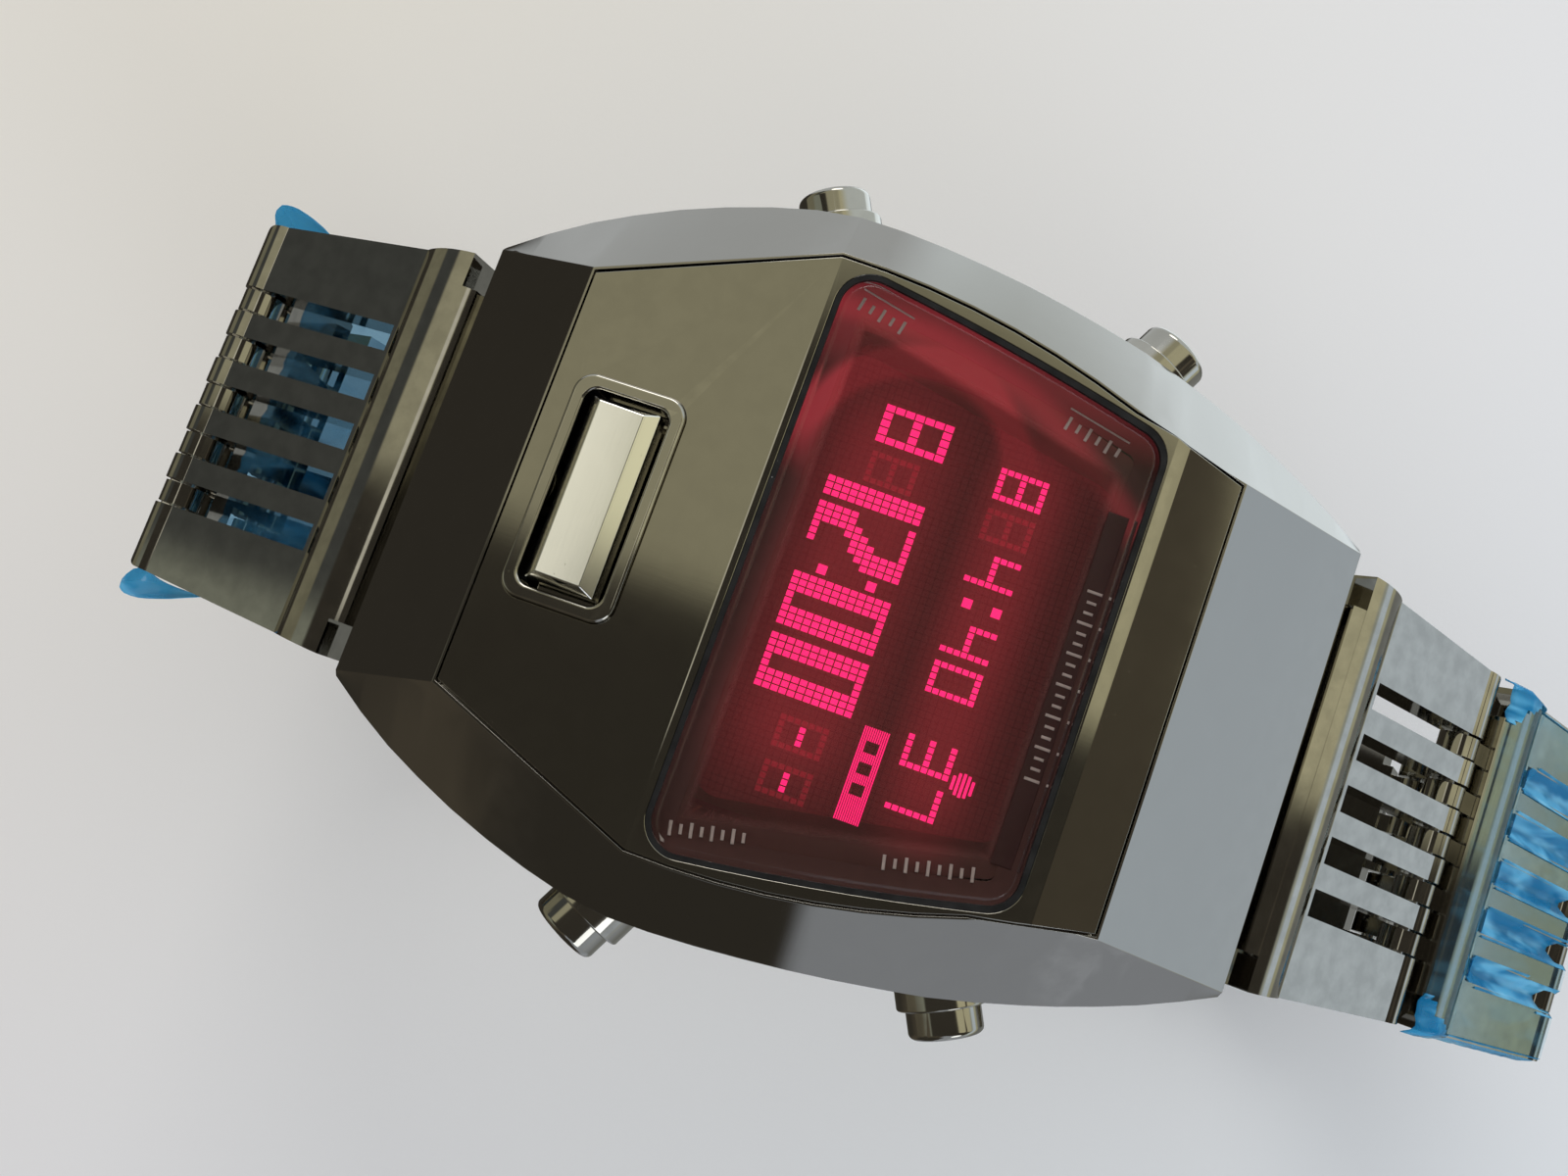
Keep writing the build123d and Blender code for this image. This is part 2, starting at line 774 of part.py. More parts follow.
def comb_link(index, tongue_at_end):
    """One bracelet link: a domed band, then rails and fins whose slots take the next link's teeth.

    The link lies along +Y from its near pin at the origin, and +Z is its outer side.
    """
    near, far, pitch = link_halves[index], link_halves[index + 1], link_pitches[index]
    band_end = band_start + (long_band if pitch == long_pitch else short_band)
    crest = (band_start + band_end) / 2
    low = -link_underside
    stop = pitch - end_tongue_back if tongue_at_end else pitch
    dome = Plane.YZ * ThreePointArc((band_start, band_lip), (crest, band_crest), (band_end, band_foot))
    corners = [(band_end, band_foot), (band_end, low), (band_start, low), (band_start, band_lip)]
    rest = Plane.YZ * Polyline(*corners)
    body = side_form(Curve() + [dome, rest])
    plate = Pos(0, band_end - knuckle_radius, low) * Box(
        2 * near, stop - band_end + knuckle_radius, plate_top - low, align=ahead
    )
    body += plate
    if not tongue_at_end:
        body += Pos(0, pitch, 0) * cross_rod(knuckle_radius, near)
    reach = stop + (0 if tongue_at_end else knuckle_radius)
    outline = plan([(near, band_start), (far, reach)], 0)
    outline = fillet(outline.vertices().sort_by(Axis.Y)[-2:], link_corner)
    body &= slab(outline, -band_crest * 2, band_crest * 2)
    for side in (-1, 1):
        notch = Box(2 * notch_width, 2 * notch_depth, 4 * band_crest)
        body -= Pos(side * near, band_start, 0) * notch
    for x in slot_places():
        slot_end = reach + (-end_rib if tongue_at_end else overrun)
        slot = Box(slot_width, slot_end - band_end, 4 * band_crest, align=ahead)
        body -= Pos(x, band_end, -2 * band_crest) * slot
    body += near_knuckle(index)
    if tongue_at_end:
        half = cover_tongue_half if tongue_at_end == "cover" else blade_tongue_half
        neck = Box(2 * half, 2 * end_tongue_back, neck_top + neck_bottom, align=behind)
        body += Pos(0, pitch, -neck_bottom) * neck + Pos(0, pitch, 0) * cross_rod(knuckle_radius, half)
    bore = pin_radius + (pin_running_gap if tongue_at_end else press_gap)
    body -= Pos(0, pitch, 0) * cross_rod(bore, 2 * near)
    near_bore = (spring_bar_radius if index == 0 else pin_radius) + pin_running_gap
    return body - cross_rod(near_bore, 2 * near)


def band_film(index):
    """Thin film over a link's outer side, in the link's own frame."""
    near, far, pitch = link_halves[index], link_halves[index + 1], link_pitches[index]
    band_end = band_start + long_band
    crest = (band_start + band_end) / 2
    stop = pitch + film_end_reach
    low, high = film_gap, film_gap + film_thickness
    lip = [(band_start, band_lip + rise) for rise in (low, high)]
    top = [(crest, band_crest + rise) for rise in (low, high)]
    foot = [(band_end, knuckle_radius + rise) for rise in (low, high)]
    tail = [(stop, knuckle_radius + rise) for rise in (low, high)]
    under = Plane.YZ * ThreePointArc(lip[0], top[0], foot[0])
    flat = Plane.YZ * Polyline(foot[0], tail[0], tail[1], foot[1])
    over = Plane.YZ * ThreePointArc(foot[1], top[1], lip[1])
    close = Plane.YZ * Line(lip[1], lip[0])
    wide, narrow = near + film_overhang, far + film_overhang
    outline = plan([(wide, band_start), (narrow, stop)], 0)
    return side_form(Curve() + [under, flat, over, close]) & slab(outline, 0, band_crest * 2)


def slot_film():
    """Thin film behind the first link's slots, with a loose ear past each far corner."""
    far = link_halves[1]
    points = [
        (far, slot_film_start),
        (far, ear_start),
        (far + ear_width, ear_shoulder),
        (far + ear_width, ear_end),
        (far + ear_gap, ear_end),
        (far + ear_gap, slot_film_end),
    ]
    top = -link_underside - film_gap
    return slab(plan(points, 0), top - film_thickness, top)


def slot_places():
    """Middles of the slots across a link."""
    return [(k - (slot_count - 1) / 2) * slot_pitch for k in range(slot_count)]


def near_knuckle(index):
    """The hinge side of a link: one wide tongue on the first link, teeth on the others."""
    neck = neck_top + neck_bottom
    places = [0] if index == 0 else slot_places()
    half = tongue_half if index == 0 else tooth_width / 2
    knuckle = None
    for x in places:
        arm = Box(2 * half, band_start + notch_depth, neck, align=ahead)
        part = cross_rod(tooth_radius, half) + Pos(0, 0, -neck_bottom) * arm
        knuckle = Pos(x, 0, 0) * part if knuckle is None else knuckle + Pos(x, 0, 0) * part
    return knuckle


def chain(side, angles):
    """Places of one side's pins, from the case to the clasp, in the dial frame."""
    y, z = bracelet_pin_y, -bracelet_pin_drop
    places = [(side * y, z)]
    for pitch, angle in zip(link_pitches, angles):
        y += pitch * math.cos(math.radians(angle))
        z -= pitch * math.sin(math.radians(angle))
        places.append((side * y, z))
    return places


def link_location(side, place, angle):
    """Puts a link on its near pin, turned to its rest angle."""
    turn = Rot(0, 0, 0) if side > 0 else Rot(0, 0, 180)
    return Pos(0, place[0], place[1]) * turn * Rot(-angle, 0, 0)


high_places = chain(1, high_side_angles)
low_places = chain(-1, low_side_angles)
clasp_far = high_places[-1]
clasp_near = low_places[-1]

# The dial's height above the surface that the clasp rests on
dial_height = clasp_ground - clasp_far[1]

# Clasp pins: the folding pin near 12 o'clock and the cover's pin near 6 o'clock
fold_pin = (clasp_far[0] - fold_pin_inset, clasp_near[1] + near_pin_lift)
inner_low = fold_pin[1] + blade_gap / 2
outer_high = fold_pin[1] - blade_gap / 2
cover_pin = (clasp_near[0] + near_pin_offset, outer_high - fold_knuckle_radius)


def inner_blade():
    """The blade next to the wrist, from the last 6 o'clock link to the folding pin."""
    start, start_height = clasp_near
    stop = fold_pin[0]
    plate = Pos(0, start, inner_low) * Box(
        2 * inner_blade_half, stop - start, blade_thickness, align=ahead
    )
    gap_half = blade_tongue_half + tongue_side_gap
    mouth = Box(2 * gap_half, 2 * (knuckle_radius + loose_gap), 4 * blade_thickness)
    plate -= Pos(0, start, inner_low) * mouth
    turn_length = 2 * (fold_knuckle_radius + loose_gap)
    turn_room = Box(2 * inner_blade_half + overrun, turn_length, 4 * blade_thickness)
    turn_room -= Box(2 * fold_knuckle_half, 2 * turn_length, 4 * blade_thickness)
    plate -= Pos(0, stop, fold_pin[1]) * turn_room
    lift = inner_low + blade_thickness - start_height
    ear = cross_rod(knuckle_radius, (inner_blade_half - gap_half) / 2)
    ear += Box(inner_blade_half - gap_half, 2 * knuckle_radius, lift, align=standing)
    for side in (-1, 1):
        plate += Pos(side * (gap_half + inner_blade_half) / 2, start, start_height) * ear
    plate += Pos(0, stop, fold_pin[1]) * cross_rod(fold_knuckle_radius, fold_knuckle_half)
    plate -= Pos(0, start, start_height) * cross_rod(pin_radius + press_gap, 2 * inner_blade_half)
    return plate - Pos(0, stop, fold_pin[1]) * cross_rod(pin_radius + pin_running_gap, 2 * inner_blade_half)


def outer_blade():
    """The blade inside the cover, from the folding pin back to the cover's pin."""
    start, stop = cover_pin[0], fold_pin[0]
    low = outer_high - blade_thickness
    plate = Pos(0, start, low) * Box(
        2 * inner_blade_half, stop - start, blade_thickness, align=ahead
    )
    inner = fold_knuckle_half + seat_gap
    middle_room = Box(2 * inner, 2 * (fold_knuckle_radius + loose_gap), 4 * blade_thickness)
    plate -= Pos(0, stop, fold_pin[1]) * middle_room
    knuckle = cross_rod(fold_knuckle_radius, (inner_blade_half - inner) / 2)
    for side in (-1, 1):
        plate += Pos(side * (inner + inner_blade_half) / 2, stop, fold_pin[1]) * knuckle
    plate += Pos(0, cover_pin[0], cover_pin[1]) * cross_rod(fold_knuckle_radius, outer_blade_half)
    plate -= Pos(0, stop, fold_pin[1]) * cross_rod(pin_radius + press_gap, 2 * inner_blade_half)
    bore = cross_rod(pin_radius + pin_running_gap, 2 * outer_blade_half)
    return plate - Pos(0, cover_pin[0], cover_pin[1]) * bore


def clasp_cover():
    """The channel that closes over the blades, with ears for both of its pins."""
    ground = -dial_height
    start, stop = cover_pin[0], clasp_far[0]
    body = Pos(0, start, ground) * Box(2 * cover_half, stop - start, cover_rise, align=ahead)
    for (y, z), radius in ((cover_pin, cover_pin_radius), (clasp_far, cover_end_radius)):
        body += Pos(0, y, z) * cross_rod(radius, cover_half)
    width = 2 * (cover_half - cover_wall)
    length = stop - start + 4 * cover_rise
    channel = Box(width, length, 2 * cover_rise, align=ahead)
    body -= Pos(0, start - 2 * cover_rise, ground + cover_plate) * channel
    near_edge = start + plate_edge_back
    far_edge = stop - knuckle_radius - plate_edge_back * 2
    for y, side in ((near_edge, Align.MAX), (far_edge, Align.MIN)):
        trim = Box(width, 4 * cover_rise, 4 * cover_plate, align=(Align.CENTER, side, Align.CENTER))
        body -= Pos(0, y, ground) * trim
    body -= Pos(0, near_edge, ground) * rod(thumb_notch_radius, -cover_plate, 2 * cover_plate)
    for y, z in (cover_pin, clasp_far):
        body -= Pos(0, y, z) * cross_rod(pin_radius + press_gap, 2 * cover_half)
    return body


def place_pin(place, half):
    """A plain hinge pin across the bracelet."""
    return Pos(0, place[0], place[1]) * cross_rod(pin_radius, half)


parts = {
    "mid_case": mid_case(),
    "front_cover": front_cover(),
    "crystal": crystal(),
    "crystal_gasket": crystal_gasket(),
    "display_mask": display_mask(),
    "display_panel": display_panel(),
    "circuit_board": circuit_board(),
    "driver_chips": driver_chips(),
    "timing_crystal": timing_crystal(),
    "module_frame": module_frame(),
    "battery": battery(),
    "battery_strap": battery_strap(),
    "contact_springs": contact_springs(),
    "buzzer": buzzer(),
    "case_back": case_back(),
    "case_back_gasket": case_back_gasket(),
    "case_back_screws": case_back_screws(),
    "button_frame": button_frame(),
    "front_button": front_button(),
    "front_button_clip": front_button_clip(),
    "front_button_spring": front_button_spring(),
    "spring_bars": spring_bars(),
    "pusher_collars": Compound(children=[pusher_collar(name) for name in pusher_names]),
    "pusher_seals": Compound(children=[pusher_seal(name) for name in pusher_names]),
    "pusher_springs": Compound(children=[pusher_spring(name) for name in pusher_names]),
}
for name in pusher_names:
    parts[f"pusher_{name}"] = pusher(name)
    parts[f"pusher_clip_{name}"] = pusher_clip(name)

sides = (("12", 1, high_places, high_side_angles, "cover"), ("6", -1, low_places, low_side_angles, "blade"))
for label, side, places, angles, last_fit in sides:
    for i, angle in enumerate(angles):
        last = i == len(angles) - 1
        link = comb_link(i, last_fit if last else None)
        parts[f"link_{label}_{i + 1}"] = link_location(side, places[i], angle) * link
        if not last:
            parts[f"link_pin_{label}_{i + 1}"] = place_pin(places[i + 1], link_halves[i + 1] - pin_short)

parts["film_12_2"] = link_location(1, high_places[1], high_side_angles[1]) * band_film(1)
parts["film_6_1"] = link_location(-1, low_places[0], low_side_angles[0]) * slot_film()

parts["clasp_spring_bar"] = place_pin(clasp_far, cover_tongue_half)
parts["clasp_inner_blade"] = inner_blade()
parts["clasp_inner_pin"] = place_pin(clasp_near, inner_blade_half - pin_short)
parts["clasp_outer_blade"] = outer_blade()
parts["clasp_fold_pin"] = place_pin(fold_pin, inner_blade_half - pin_short)
parts["clasp_cover"] = clasp_cover()
parts["clasp_cover_pin"] = place_pin(cover_pin, cover_half - pin_short)

os.makedirs("parts", exist_ok=True)
for name, shape in parts.items():
    export_step(Pos(0, 0, dial_height) * shape, f"parts/{name}.step")
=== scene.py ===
import json
import logging
import math
from dataclasses import dataclass
from enum import Enum

import bmesh
import bpy
from mathutils import Matrix, Vector, noise
from mathutils.bvhtree import BVHTree


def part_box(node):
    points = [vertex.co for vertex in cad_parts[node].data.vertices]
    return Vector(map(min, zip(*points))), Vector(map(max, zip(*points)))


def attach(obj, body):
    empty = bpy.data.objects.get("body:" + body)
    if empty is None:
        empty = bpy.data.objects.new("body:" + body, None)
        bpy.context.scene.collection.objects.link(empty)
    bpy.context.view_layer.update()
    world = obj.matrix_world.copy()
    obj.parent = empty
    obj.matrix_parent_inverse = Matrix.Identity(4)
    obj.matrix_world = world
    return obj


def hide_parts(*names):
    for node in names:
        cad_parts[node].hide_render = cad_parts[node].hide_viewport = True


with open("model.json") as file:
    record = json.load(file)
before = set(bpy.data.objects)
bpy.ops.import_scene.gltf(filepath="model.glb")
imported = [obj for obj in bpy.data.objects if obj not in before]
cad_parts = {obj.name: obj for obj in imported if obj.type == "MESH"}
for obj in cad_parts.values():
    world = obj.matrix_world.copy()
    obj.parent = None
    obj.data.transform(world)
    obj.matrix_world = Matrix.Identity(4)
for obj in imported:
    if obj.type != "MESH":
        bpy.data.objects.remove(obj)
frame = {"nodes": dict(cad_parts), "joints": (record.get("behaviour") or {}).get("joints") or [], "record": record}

LOG = logging.getLogger("watch")
MM = 0.001

Pair = tuple[float, float]
Triple = tuple[float, float, float]
Socket = bpy.types.NodeSocket
Value = bpy.types.NodeSocket | float
Paint = bpy.types.NodeSocket | tuple[float, float, float]
Material = bpy.types.Material
Piece = bpy.types.Object


class Slot(Enum):
    """Material slots of the record, which go along with new pieces but are not read."""

    PANEL = "panel_plastic"
    PRINT = "mask_print"
    FILM = "film_blue"


class GlowPart(Enum):
    """Parts of the window's glow, each of which has its own strength."""

    ROWS = "Rows"
    INNER_ARC = "Inner Arc"
    OUTER_ARC = "Outer Arc"
    CORNER = "Corner"


# Node graphs and shared effects


class Graph:
    """Small builder for one node tree."""

    def __init__(self, tree: bpy.types.NodeTree) -> None:
        """Takes a tree and empties it."""
        self.tree = tree
        self.tree.nodes.clear()

    def feed(self, socket: Socket, value: object) -> None:
        """Links an input to an output, or sets its constant.

        Args:
            socket: the input.
            value: an output socket or a constant; a colour may come without its alpha.
        """
        if isinstance(value, bpy.types.NodeSocket):
            self.tree.links.new(value, socket)
        elif socket.type == "RGBA" and len(value) == 3:
            socket.default_value = (*value, 1.0)
        else:
            socket.default_value = value

    def add(self, kind: str, inputs: dict | None = None, **settings: object) -> bpy.types.Node:
        """Adds a node.

        Args:
            kind: type name of the node.
            inputs: socket name or number to a constant or an output socket.
            settings: attributes of the node.

        Returns:
            The new node.
        """
        node = self.tree.nodes.new(kind)
        for name, value in settings.items():
            setattr(node, name, value)
        for key, value in (inputs or {}).items():
            self.feed(node.inputs[key], value)
        return node

    def place(self) -> Socket:
        """Where a point is in its object's own frame, in metres."""
        return self.add("ShaderNodeTexCoord").outputs["Object"]

    def maths(self, operation: str, a: Value, b: Value = 0.0) -> Socket:
        """Result of one operation on two values."""
        return self.add("ShaderNodeMath", {0: a, 1: b}, operation=operation).outputs[0]

    def plus(self, a: Value, b: Value) -> Socket:
        """Sum of two values."""
        return self.maths("ADD", a, b)

    def minus(self, a: Value, b: Value) -> Socket:
        """Difference of two values."""
        return self.maths("SUBTRACT", a, b)

    def times(self, a: Value, b: Value) -> Socket:
        """Product of two values."""
        return self.maths("MULTIPLY", a, b)

    def most(self, a: Value, b: Value) -> Socket:
        """The greater of two values."""
        return self.maths("MAXIMUM", a, b)

    def size(self, a: Value) -> Socket:
        """A value without its sign."""
        return self.maths("ABSOLUTE", a)

    def vector(self, operation: str, a: Socket, b: Socket | Triple) -> Socket:
        """Result of one operation on two vectors."""
        return self.add("ShaderNodeVectorMath", {0: a, 1: b}, operation=operation).outputs[0]

    def length(self, a: Socket) -> Socket:
        """Length of a vector."""
        return self.add("ShaderNodeVectorMath", {0: a}, operation="LENGTH").outputs["Value"]

    def axes(self, a: Socket) -> list[Socket]:
        """The three coordinates of a vector."""
        return list(self.add("ShaderNodeSeparateXYZ", {"Vector": a}).outputs)

    def clouds(self, place: Socket, scale: Value, detail: float, **others: float) -> Socket:
        """Soft noise at a place; other inputs of its node come by name."""
        inputs = {"Vector": place, "Scale": scale, "Detail": detail, **others}
        return self.add("ShaderNodeTexNoise", inputs).outputs["Fac"]

    def ramp(self, factor: Socket, start: Pair, end: Pair) -> Socket:
        """Adds a grey ramp.

        Args:
            factor: the value to look up.
            start: place and level of the first stop.
            end: place and level of the second stop.

        Returns:
            The level, as a colour.
        """
        node = self.add("ShaderNodeValToRGB", {"Fac": factor})
        for element, (place, level) in zip(node.color_ramp.elements, (start, end)):
            element.position = place
            element.color = (level, level, level, 1.0)
        return node.outputs["Color"]

    def mix(self, factor: Value, first: Paint, second: Paint) -> Socket:
        """Goes from the first colour to the second."""
        return self.add("ShaderNodeMix", {"Factor": factor, 6: first, 7: second}, data_type="RGBA").outputs[2]

    def spread(self, value: Socket, low: float, high: float) -> Socket:
        """Maps a value from 0..1 to low..high."""
        inputs = {"Value": value, "To Min": low, "To Max": high}
        return self.add("ShaderNodeMapRange", inputs).outputs["Result"]

    def share(self, value: Socket, start: float, end: float, **settings: str) -> Socket:
        """Goes evenly from 0 at start to 1 at end, whichever is greater."""
        inputs = {"Value": value, "From Min": start, "From Max": end}
        return self.add("ShaderNodeMapRange", inputs, **settings).outputs["Result"]

    def ease(self, value: Socket, start: float, end: float) -> Socket:
        """Goes smoothly from 0 at start to 1 at end, whichever is greater."""
        return self.share(value, start, end, interpolation_type="SMOOTHSTEP")

    def band(self, value: Socket, middle: float, half: float) -> Socket:
        """1 where the value is at middle, falling smoothly to 0 at half away from it."""
        return self.ease(self.size(self.minus(value, middle)), half, 0.0)

    def bump(self, height: Socket, strength: float, depth: float, normal: Socket | None = None) -> Socket:
        """Makes the normal of a relief.

        Args:
            height: the relief's height.
            strength: how strongly it shows.
            depth: its greatest height in metres.
            normal: the normal of a relief under it.

        Returns:
            The normal.
        """
        inputs = {"Height": height, "Strength": strength, "Distance": depth}
        if normal:
            inputs["Normal"] = normal
        return self.add("ShaderNodeBump", inputs).outputs["Normal"]

    def group(self, tree: bpy.types.NodeTree, inputs: dict) -> Socket:
        """Places a shared group.

        Args:
            tree: the group.
            inputs: socket name to constant.

        Returns:
            The group's output.
        """
        node = self.add("ShaderNodeGroup", node_tree=tree)
        for key, value in inputs.items():
            self.feed(node.inputs[key], value)
        return node.outputs[0]

    def principled(self, inputs: dict) -> Socket:
        """Adds the main surface shader."""
        return self.add("ShaderNodeBsdfPrincipled", inputs).outputs["BSDF"]

    def clear(self, tint: Triple) -> Socket:
        """Adds a shader that lets light straight through, tinted."""
        return self.add("ShaderNodeBsdfTransparent", {"Color": tint}).outputs["BSDF"]

    def blend(self, factor: Socket, first: Socket, second: Socket) -> Socket:
        """Goes from the first shader to the second."""
        return self.add("ShaderNodeMixShader", {0: factor, 1: first, 2: second}).outputs["Shader"]


def new_group(name: str, inputs: dict[str, float], output: str) -> tuple[Graph, dict[str, Socket]]:
    """Makes an empty shader group of float sockets.

    Args:
        name: the group's name.
        inputs: socket name to default value.
        output: name of its one output.

    Returns:
        The group's graph, and what comes in through each input.
    """
    tree = bpy.data.node_groups.new(name, "ShaderNodeTree")
    for label, value in inputs.items():
        socket = tree.interface.new_socket(name=label, in_out="INPUT", socket_type="NodeSocketFloat")
        socket.default_value = value
    tree.interface.new_socket(name=output, in_out="OUTPUT", socket_type="NodeSocketFloat")
    graph = Graph(tree)
    source = graph.add("NodeGroupInput")
    return graph, {label: source.outputs[label] for label in inputs}


@dataclass(frozen=True)
class Arc:
    """A soft ring of light: its middle, radius and half width in millimetres, and its part of the glow."""

    x: float
    y: float
    radius: float
    half: float
    part: GlowPart

    def shine(self, graph: Graph, place: Socket) -> Socket:
        """How bright the ring is at a place, before its strength.

        Args:
            graph: the group's graph.
            place: the place in the window.

        Returns:
            The brightness, from 0 to 1.
        """
        shifted = graph.vector("ADD", place, (-self.x * MM, -self.y * MM, 0.0))
        level = graph.vector("MULTIPLY", shifted, (1.0, 1.0, 0.0))
        return graph.band(graph.length(level), self.radius * MM, self.half * MM)


@dataclass(frozen=True)
class WindowGlow:
    """The lamps' red glow in the window, in the dial's own millimetres.

    Attributes:
        rows: middle and half height of the glow round each row of digits.
        row_ends: from where to where that glow fades towards 9 and 3 o'clock.
        arcs: the two arcs of light beside the digits.
        arc_ends: from where to where they appear.
        corner_ends: from where to where the glow grows into the 9 o'clock edge, which leans by corner_lean.
        cloud_scale: how fine the clouds in it are.
        cloud_ends: least and greatest share that they leave.
    """

    rows: tuple[Pair, Pair] = ((-0.9, 5.0), (6.2, 3.4))
    row_ends: Pair = (12.5, 7.0)
    arcs: tuple[Arc, Arc] = (
        Arc(-6.8, 0.1, 5.6, 1.2, GlowPart.INNER_ARC),
        Arc(7.1, -3.2, 21.0, 1.2, GlowPart.OUTER_ARC),
    )
    arc_ends: Pair = (-4.0, -9.0)
    corner_ends: Pair = (-9.6, -13.2)
    corner_lean: float = 0.063
    cloud_scale: float = 120.0
    cloud_ends: Pair = (0.75, 1.25)

    def build(self) -> bpy.types.NodeTree:
        """Makes the glow's group, with the strength of each part as an input.

        Returns:
            The group's tree.
        """
        graph, given = new_group("WindowGlow", {part.value: 1.0 for part in GlowPart}, "Strength")
        place = graph.place()
        x, y, _ = graph.axes(place)
        first, second = (graph.band(y, middle * MM, half * MM) for middle, half in self.rows)
        ends = graph.ease(graph.size(x), *(end * MM for end in self.row_ends))
        shine = graph.times(graph.times(graph.most(first, second), ends), given[GlowPart.ROWS.value])
        fade = graph.ease(x, *(end * MM for end in self.arc_ends))
        for arc in self.arcs:
            ring = graph.times(arc.shine(graph, place), fade)
            shine = graph.plus(shine, graph.times(ring, given[arc.part.value]))
        edge = graph.plus(x, graph.times(y, self.corner_lean))
        corner = graph.ease(edge, *(end * MM for end in self.corner_ends))
        shine = graph.plus(shine, graph.times(corner, given[GlowPart.CORNER.value]))
        clouds = graph.spread(graph.clouds(place, self.cloud_scale, 1.0), *self.cloud_ends)
        graph.add("NodeGroupOutput", {"Strength": graph.times(shine, clouds)})
        return graph.tree


class Effects:
    """The shared shader groups, each built once. A stop is a place on a ramp and its level."""

    EDGE_STOPS = ((0.51, 0.0), (0.58, 1.0))
    BREAK_STOPS = ((0.35, 0.25), (0.65, 1.0))
    SPECK_STOPS = ((0.05, 1.0), (0.11, 0.0))
    CHANCE_STOPS = ((0.80, 0.0), (0.84, 1.0))
    STREAK_FINENESS = 7.0
    SMUDGE_GAIN = 2.2
    GRAIN_INPUTS = {"Scale X": 300.0, "Scale Y": 6000.0, "Scale Z": 300.0}

    def __init__(self) -> None:
        """Builds the groups."""
        self.wear = self.build_wear()
        self.grain = self.build_grain()
        self.smudge = self.build_smudge()
        self.dust = self.build_dust()
        self.waves = self.build_relief("SoftWaves", 55.0, 0.5)
        self.pebble = self.build_relief("Pebble", 4200.0, 3.0)
        self.glow = WindowGlow().build()

    def build_wear(self) -> bpy.types.NodeTree:
        """Mask of polished edges, broken up by noise.

        Returns:
            The group's tree.
        """
        graph, given = new_group("EdgeWear", {"Amount": 0.5, "Scale": 900.0}, "Mask")
        patches = graph.clouds(graph.place(), given["Scale"], 4.0)
        point = graph.add("ShaderNodeNewGeometry").outputs["Pointiness"]
        sharp = graph.ramp(point, *self.EDGE_STOPS)
        broken = graph.ramp(patches, *self.BREAK_STOPS)
        graph.add("NodeGroupOutput", {"Mask": graph.times(graph.times(sharp, broken), given["Amount"])})
        return graph.tree

    def build_grain(self) -> bpy.types.NodeTree:
        """Height of fine drawn grain, long in the direction whose scale is small.

        Returns:
            The group's tree.
        """
        graph, given = new_group("DrawnGrain", self.GRAIN_INPUTS, "Height")
        scale = graph.add("ShaderNodeCombineXYZ", {axis: given["Scale " + axis] for axis in "XYZ"})
        drawn = graph.vector("MULTIPLY", graph.place(), scale.outputs["Vector"])
        graph.add("NodeGroupOutput", {"Height": graph.clouds(drawn, 1.0, 6.0, Roughness=0.65)})
        return graph.tree

    def build_smudge(self) -> bpy.types.NodeTree:
        """Value of handling marks: large soft patches with finer streaks in them.

        Returns:
            The group's tree.
        """
        graph, given = new_group("Smudge", {"Scale": 120.0}, "Value")
        place = graph.place()
        large = graph.clouds(place, given["Scale"], 3.0)
        fine = graph.clouds(place, graph.times(given["Scale"], self.STREAK_FINENESS), 5.0, Distortion=0.6)
        graph.add("NodeGroupOutput", {"Value": graph.times(graph.times(large, fine), self.SMUDGE_GAIN)})
        return graph.tree

    def build_dust(self) -> bpy.types.NodeTree:
        """Mask of sparse small dust specks.

        Returns:
            The group's tree.
        """
        graph, given = new_group("Dust", {"Scale": 2600.0, "Amount": 0.5}, "Mask")
        cells = graph.add("ShaderNodeTexVoronoi", {"Vector": graph.place(), "Scale": given["Scale"]})
        speck = graph.ramp(cells.outputs["Distance"], *self.SPECK_STOPS)
        chance = graph.ramp(cells.outputs["Color"], *self.CHANCE_STOPS)
        graph.add("NodeGroupOutput", {"Mask": graph.times(graph.times(speck, chance), given["Amount"])})
        return graph.tree

    @staticmethod
    def build_relief(name: str, scale: float, detail: float) -> bpy.types.NodeTree:
        """Height of a plain relief, from soft waves to a fine texture.

        Args:
            name: the group's name.
            scale: how fine the relief is, unless a material says otherwise.
            detail: how much finer relief is in it.

        Returns:
            The group's tree.
        """
        graph, given = new_group(name, {"Scale": scale}, "Height")
        graph.add("NodeGroupOutput", {"Height": graph.clouds(graph.place(), given["Scale"], detail)})
        return graph.tree


# Finishes


@dataclass(frozen=True)
class Finish:
    """What every finish has: a name, a shader and a way to make its material."""

    name: str

    def shader(self, graph: Graph, effects: Effects) -> Socket:
        """Builds the finish's shader, which each kind of finish does in its own way."""
        raise NotImplementedError(self.name)

    def material(self, effects: Effects) -> Material:
        """Makes the finish's material.

        Args:
            effects: the shared shader groups.

        Returns:
            The new material.
        """
        material = bpy.data.materials.new(self.name)
        material.use_nodes = True
        graph = Graph(material.node_tree)
        graph.add("ShaderNodeOutputMaterial", {"Surface": self.shader(graph, effects)})
        return material


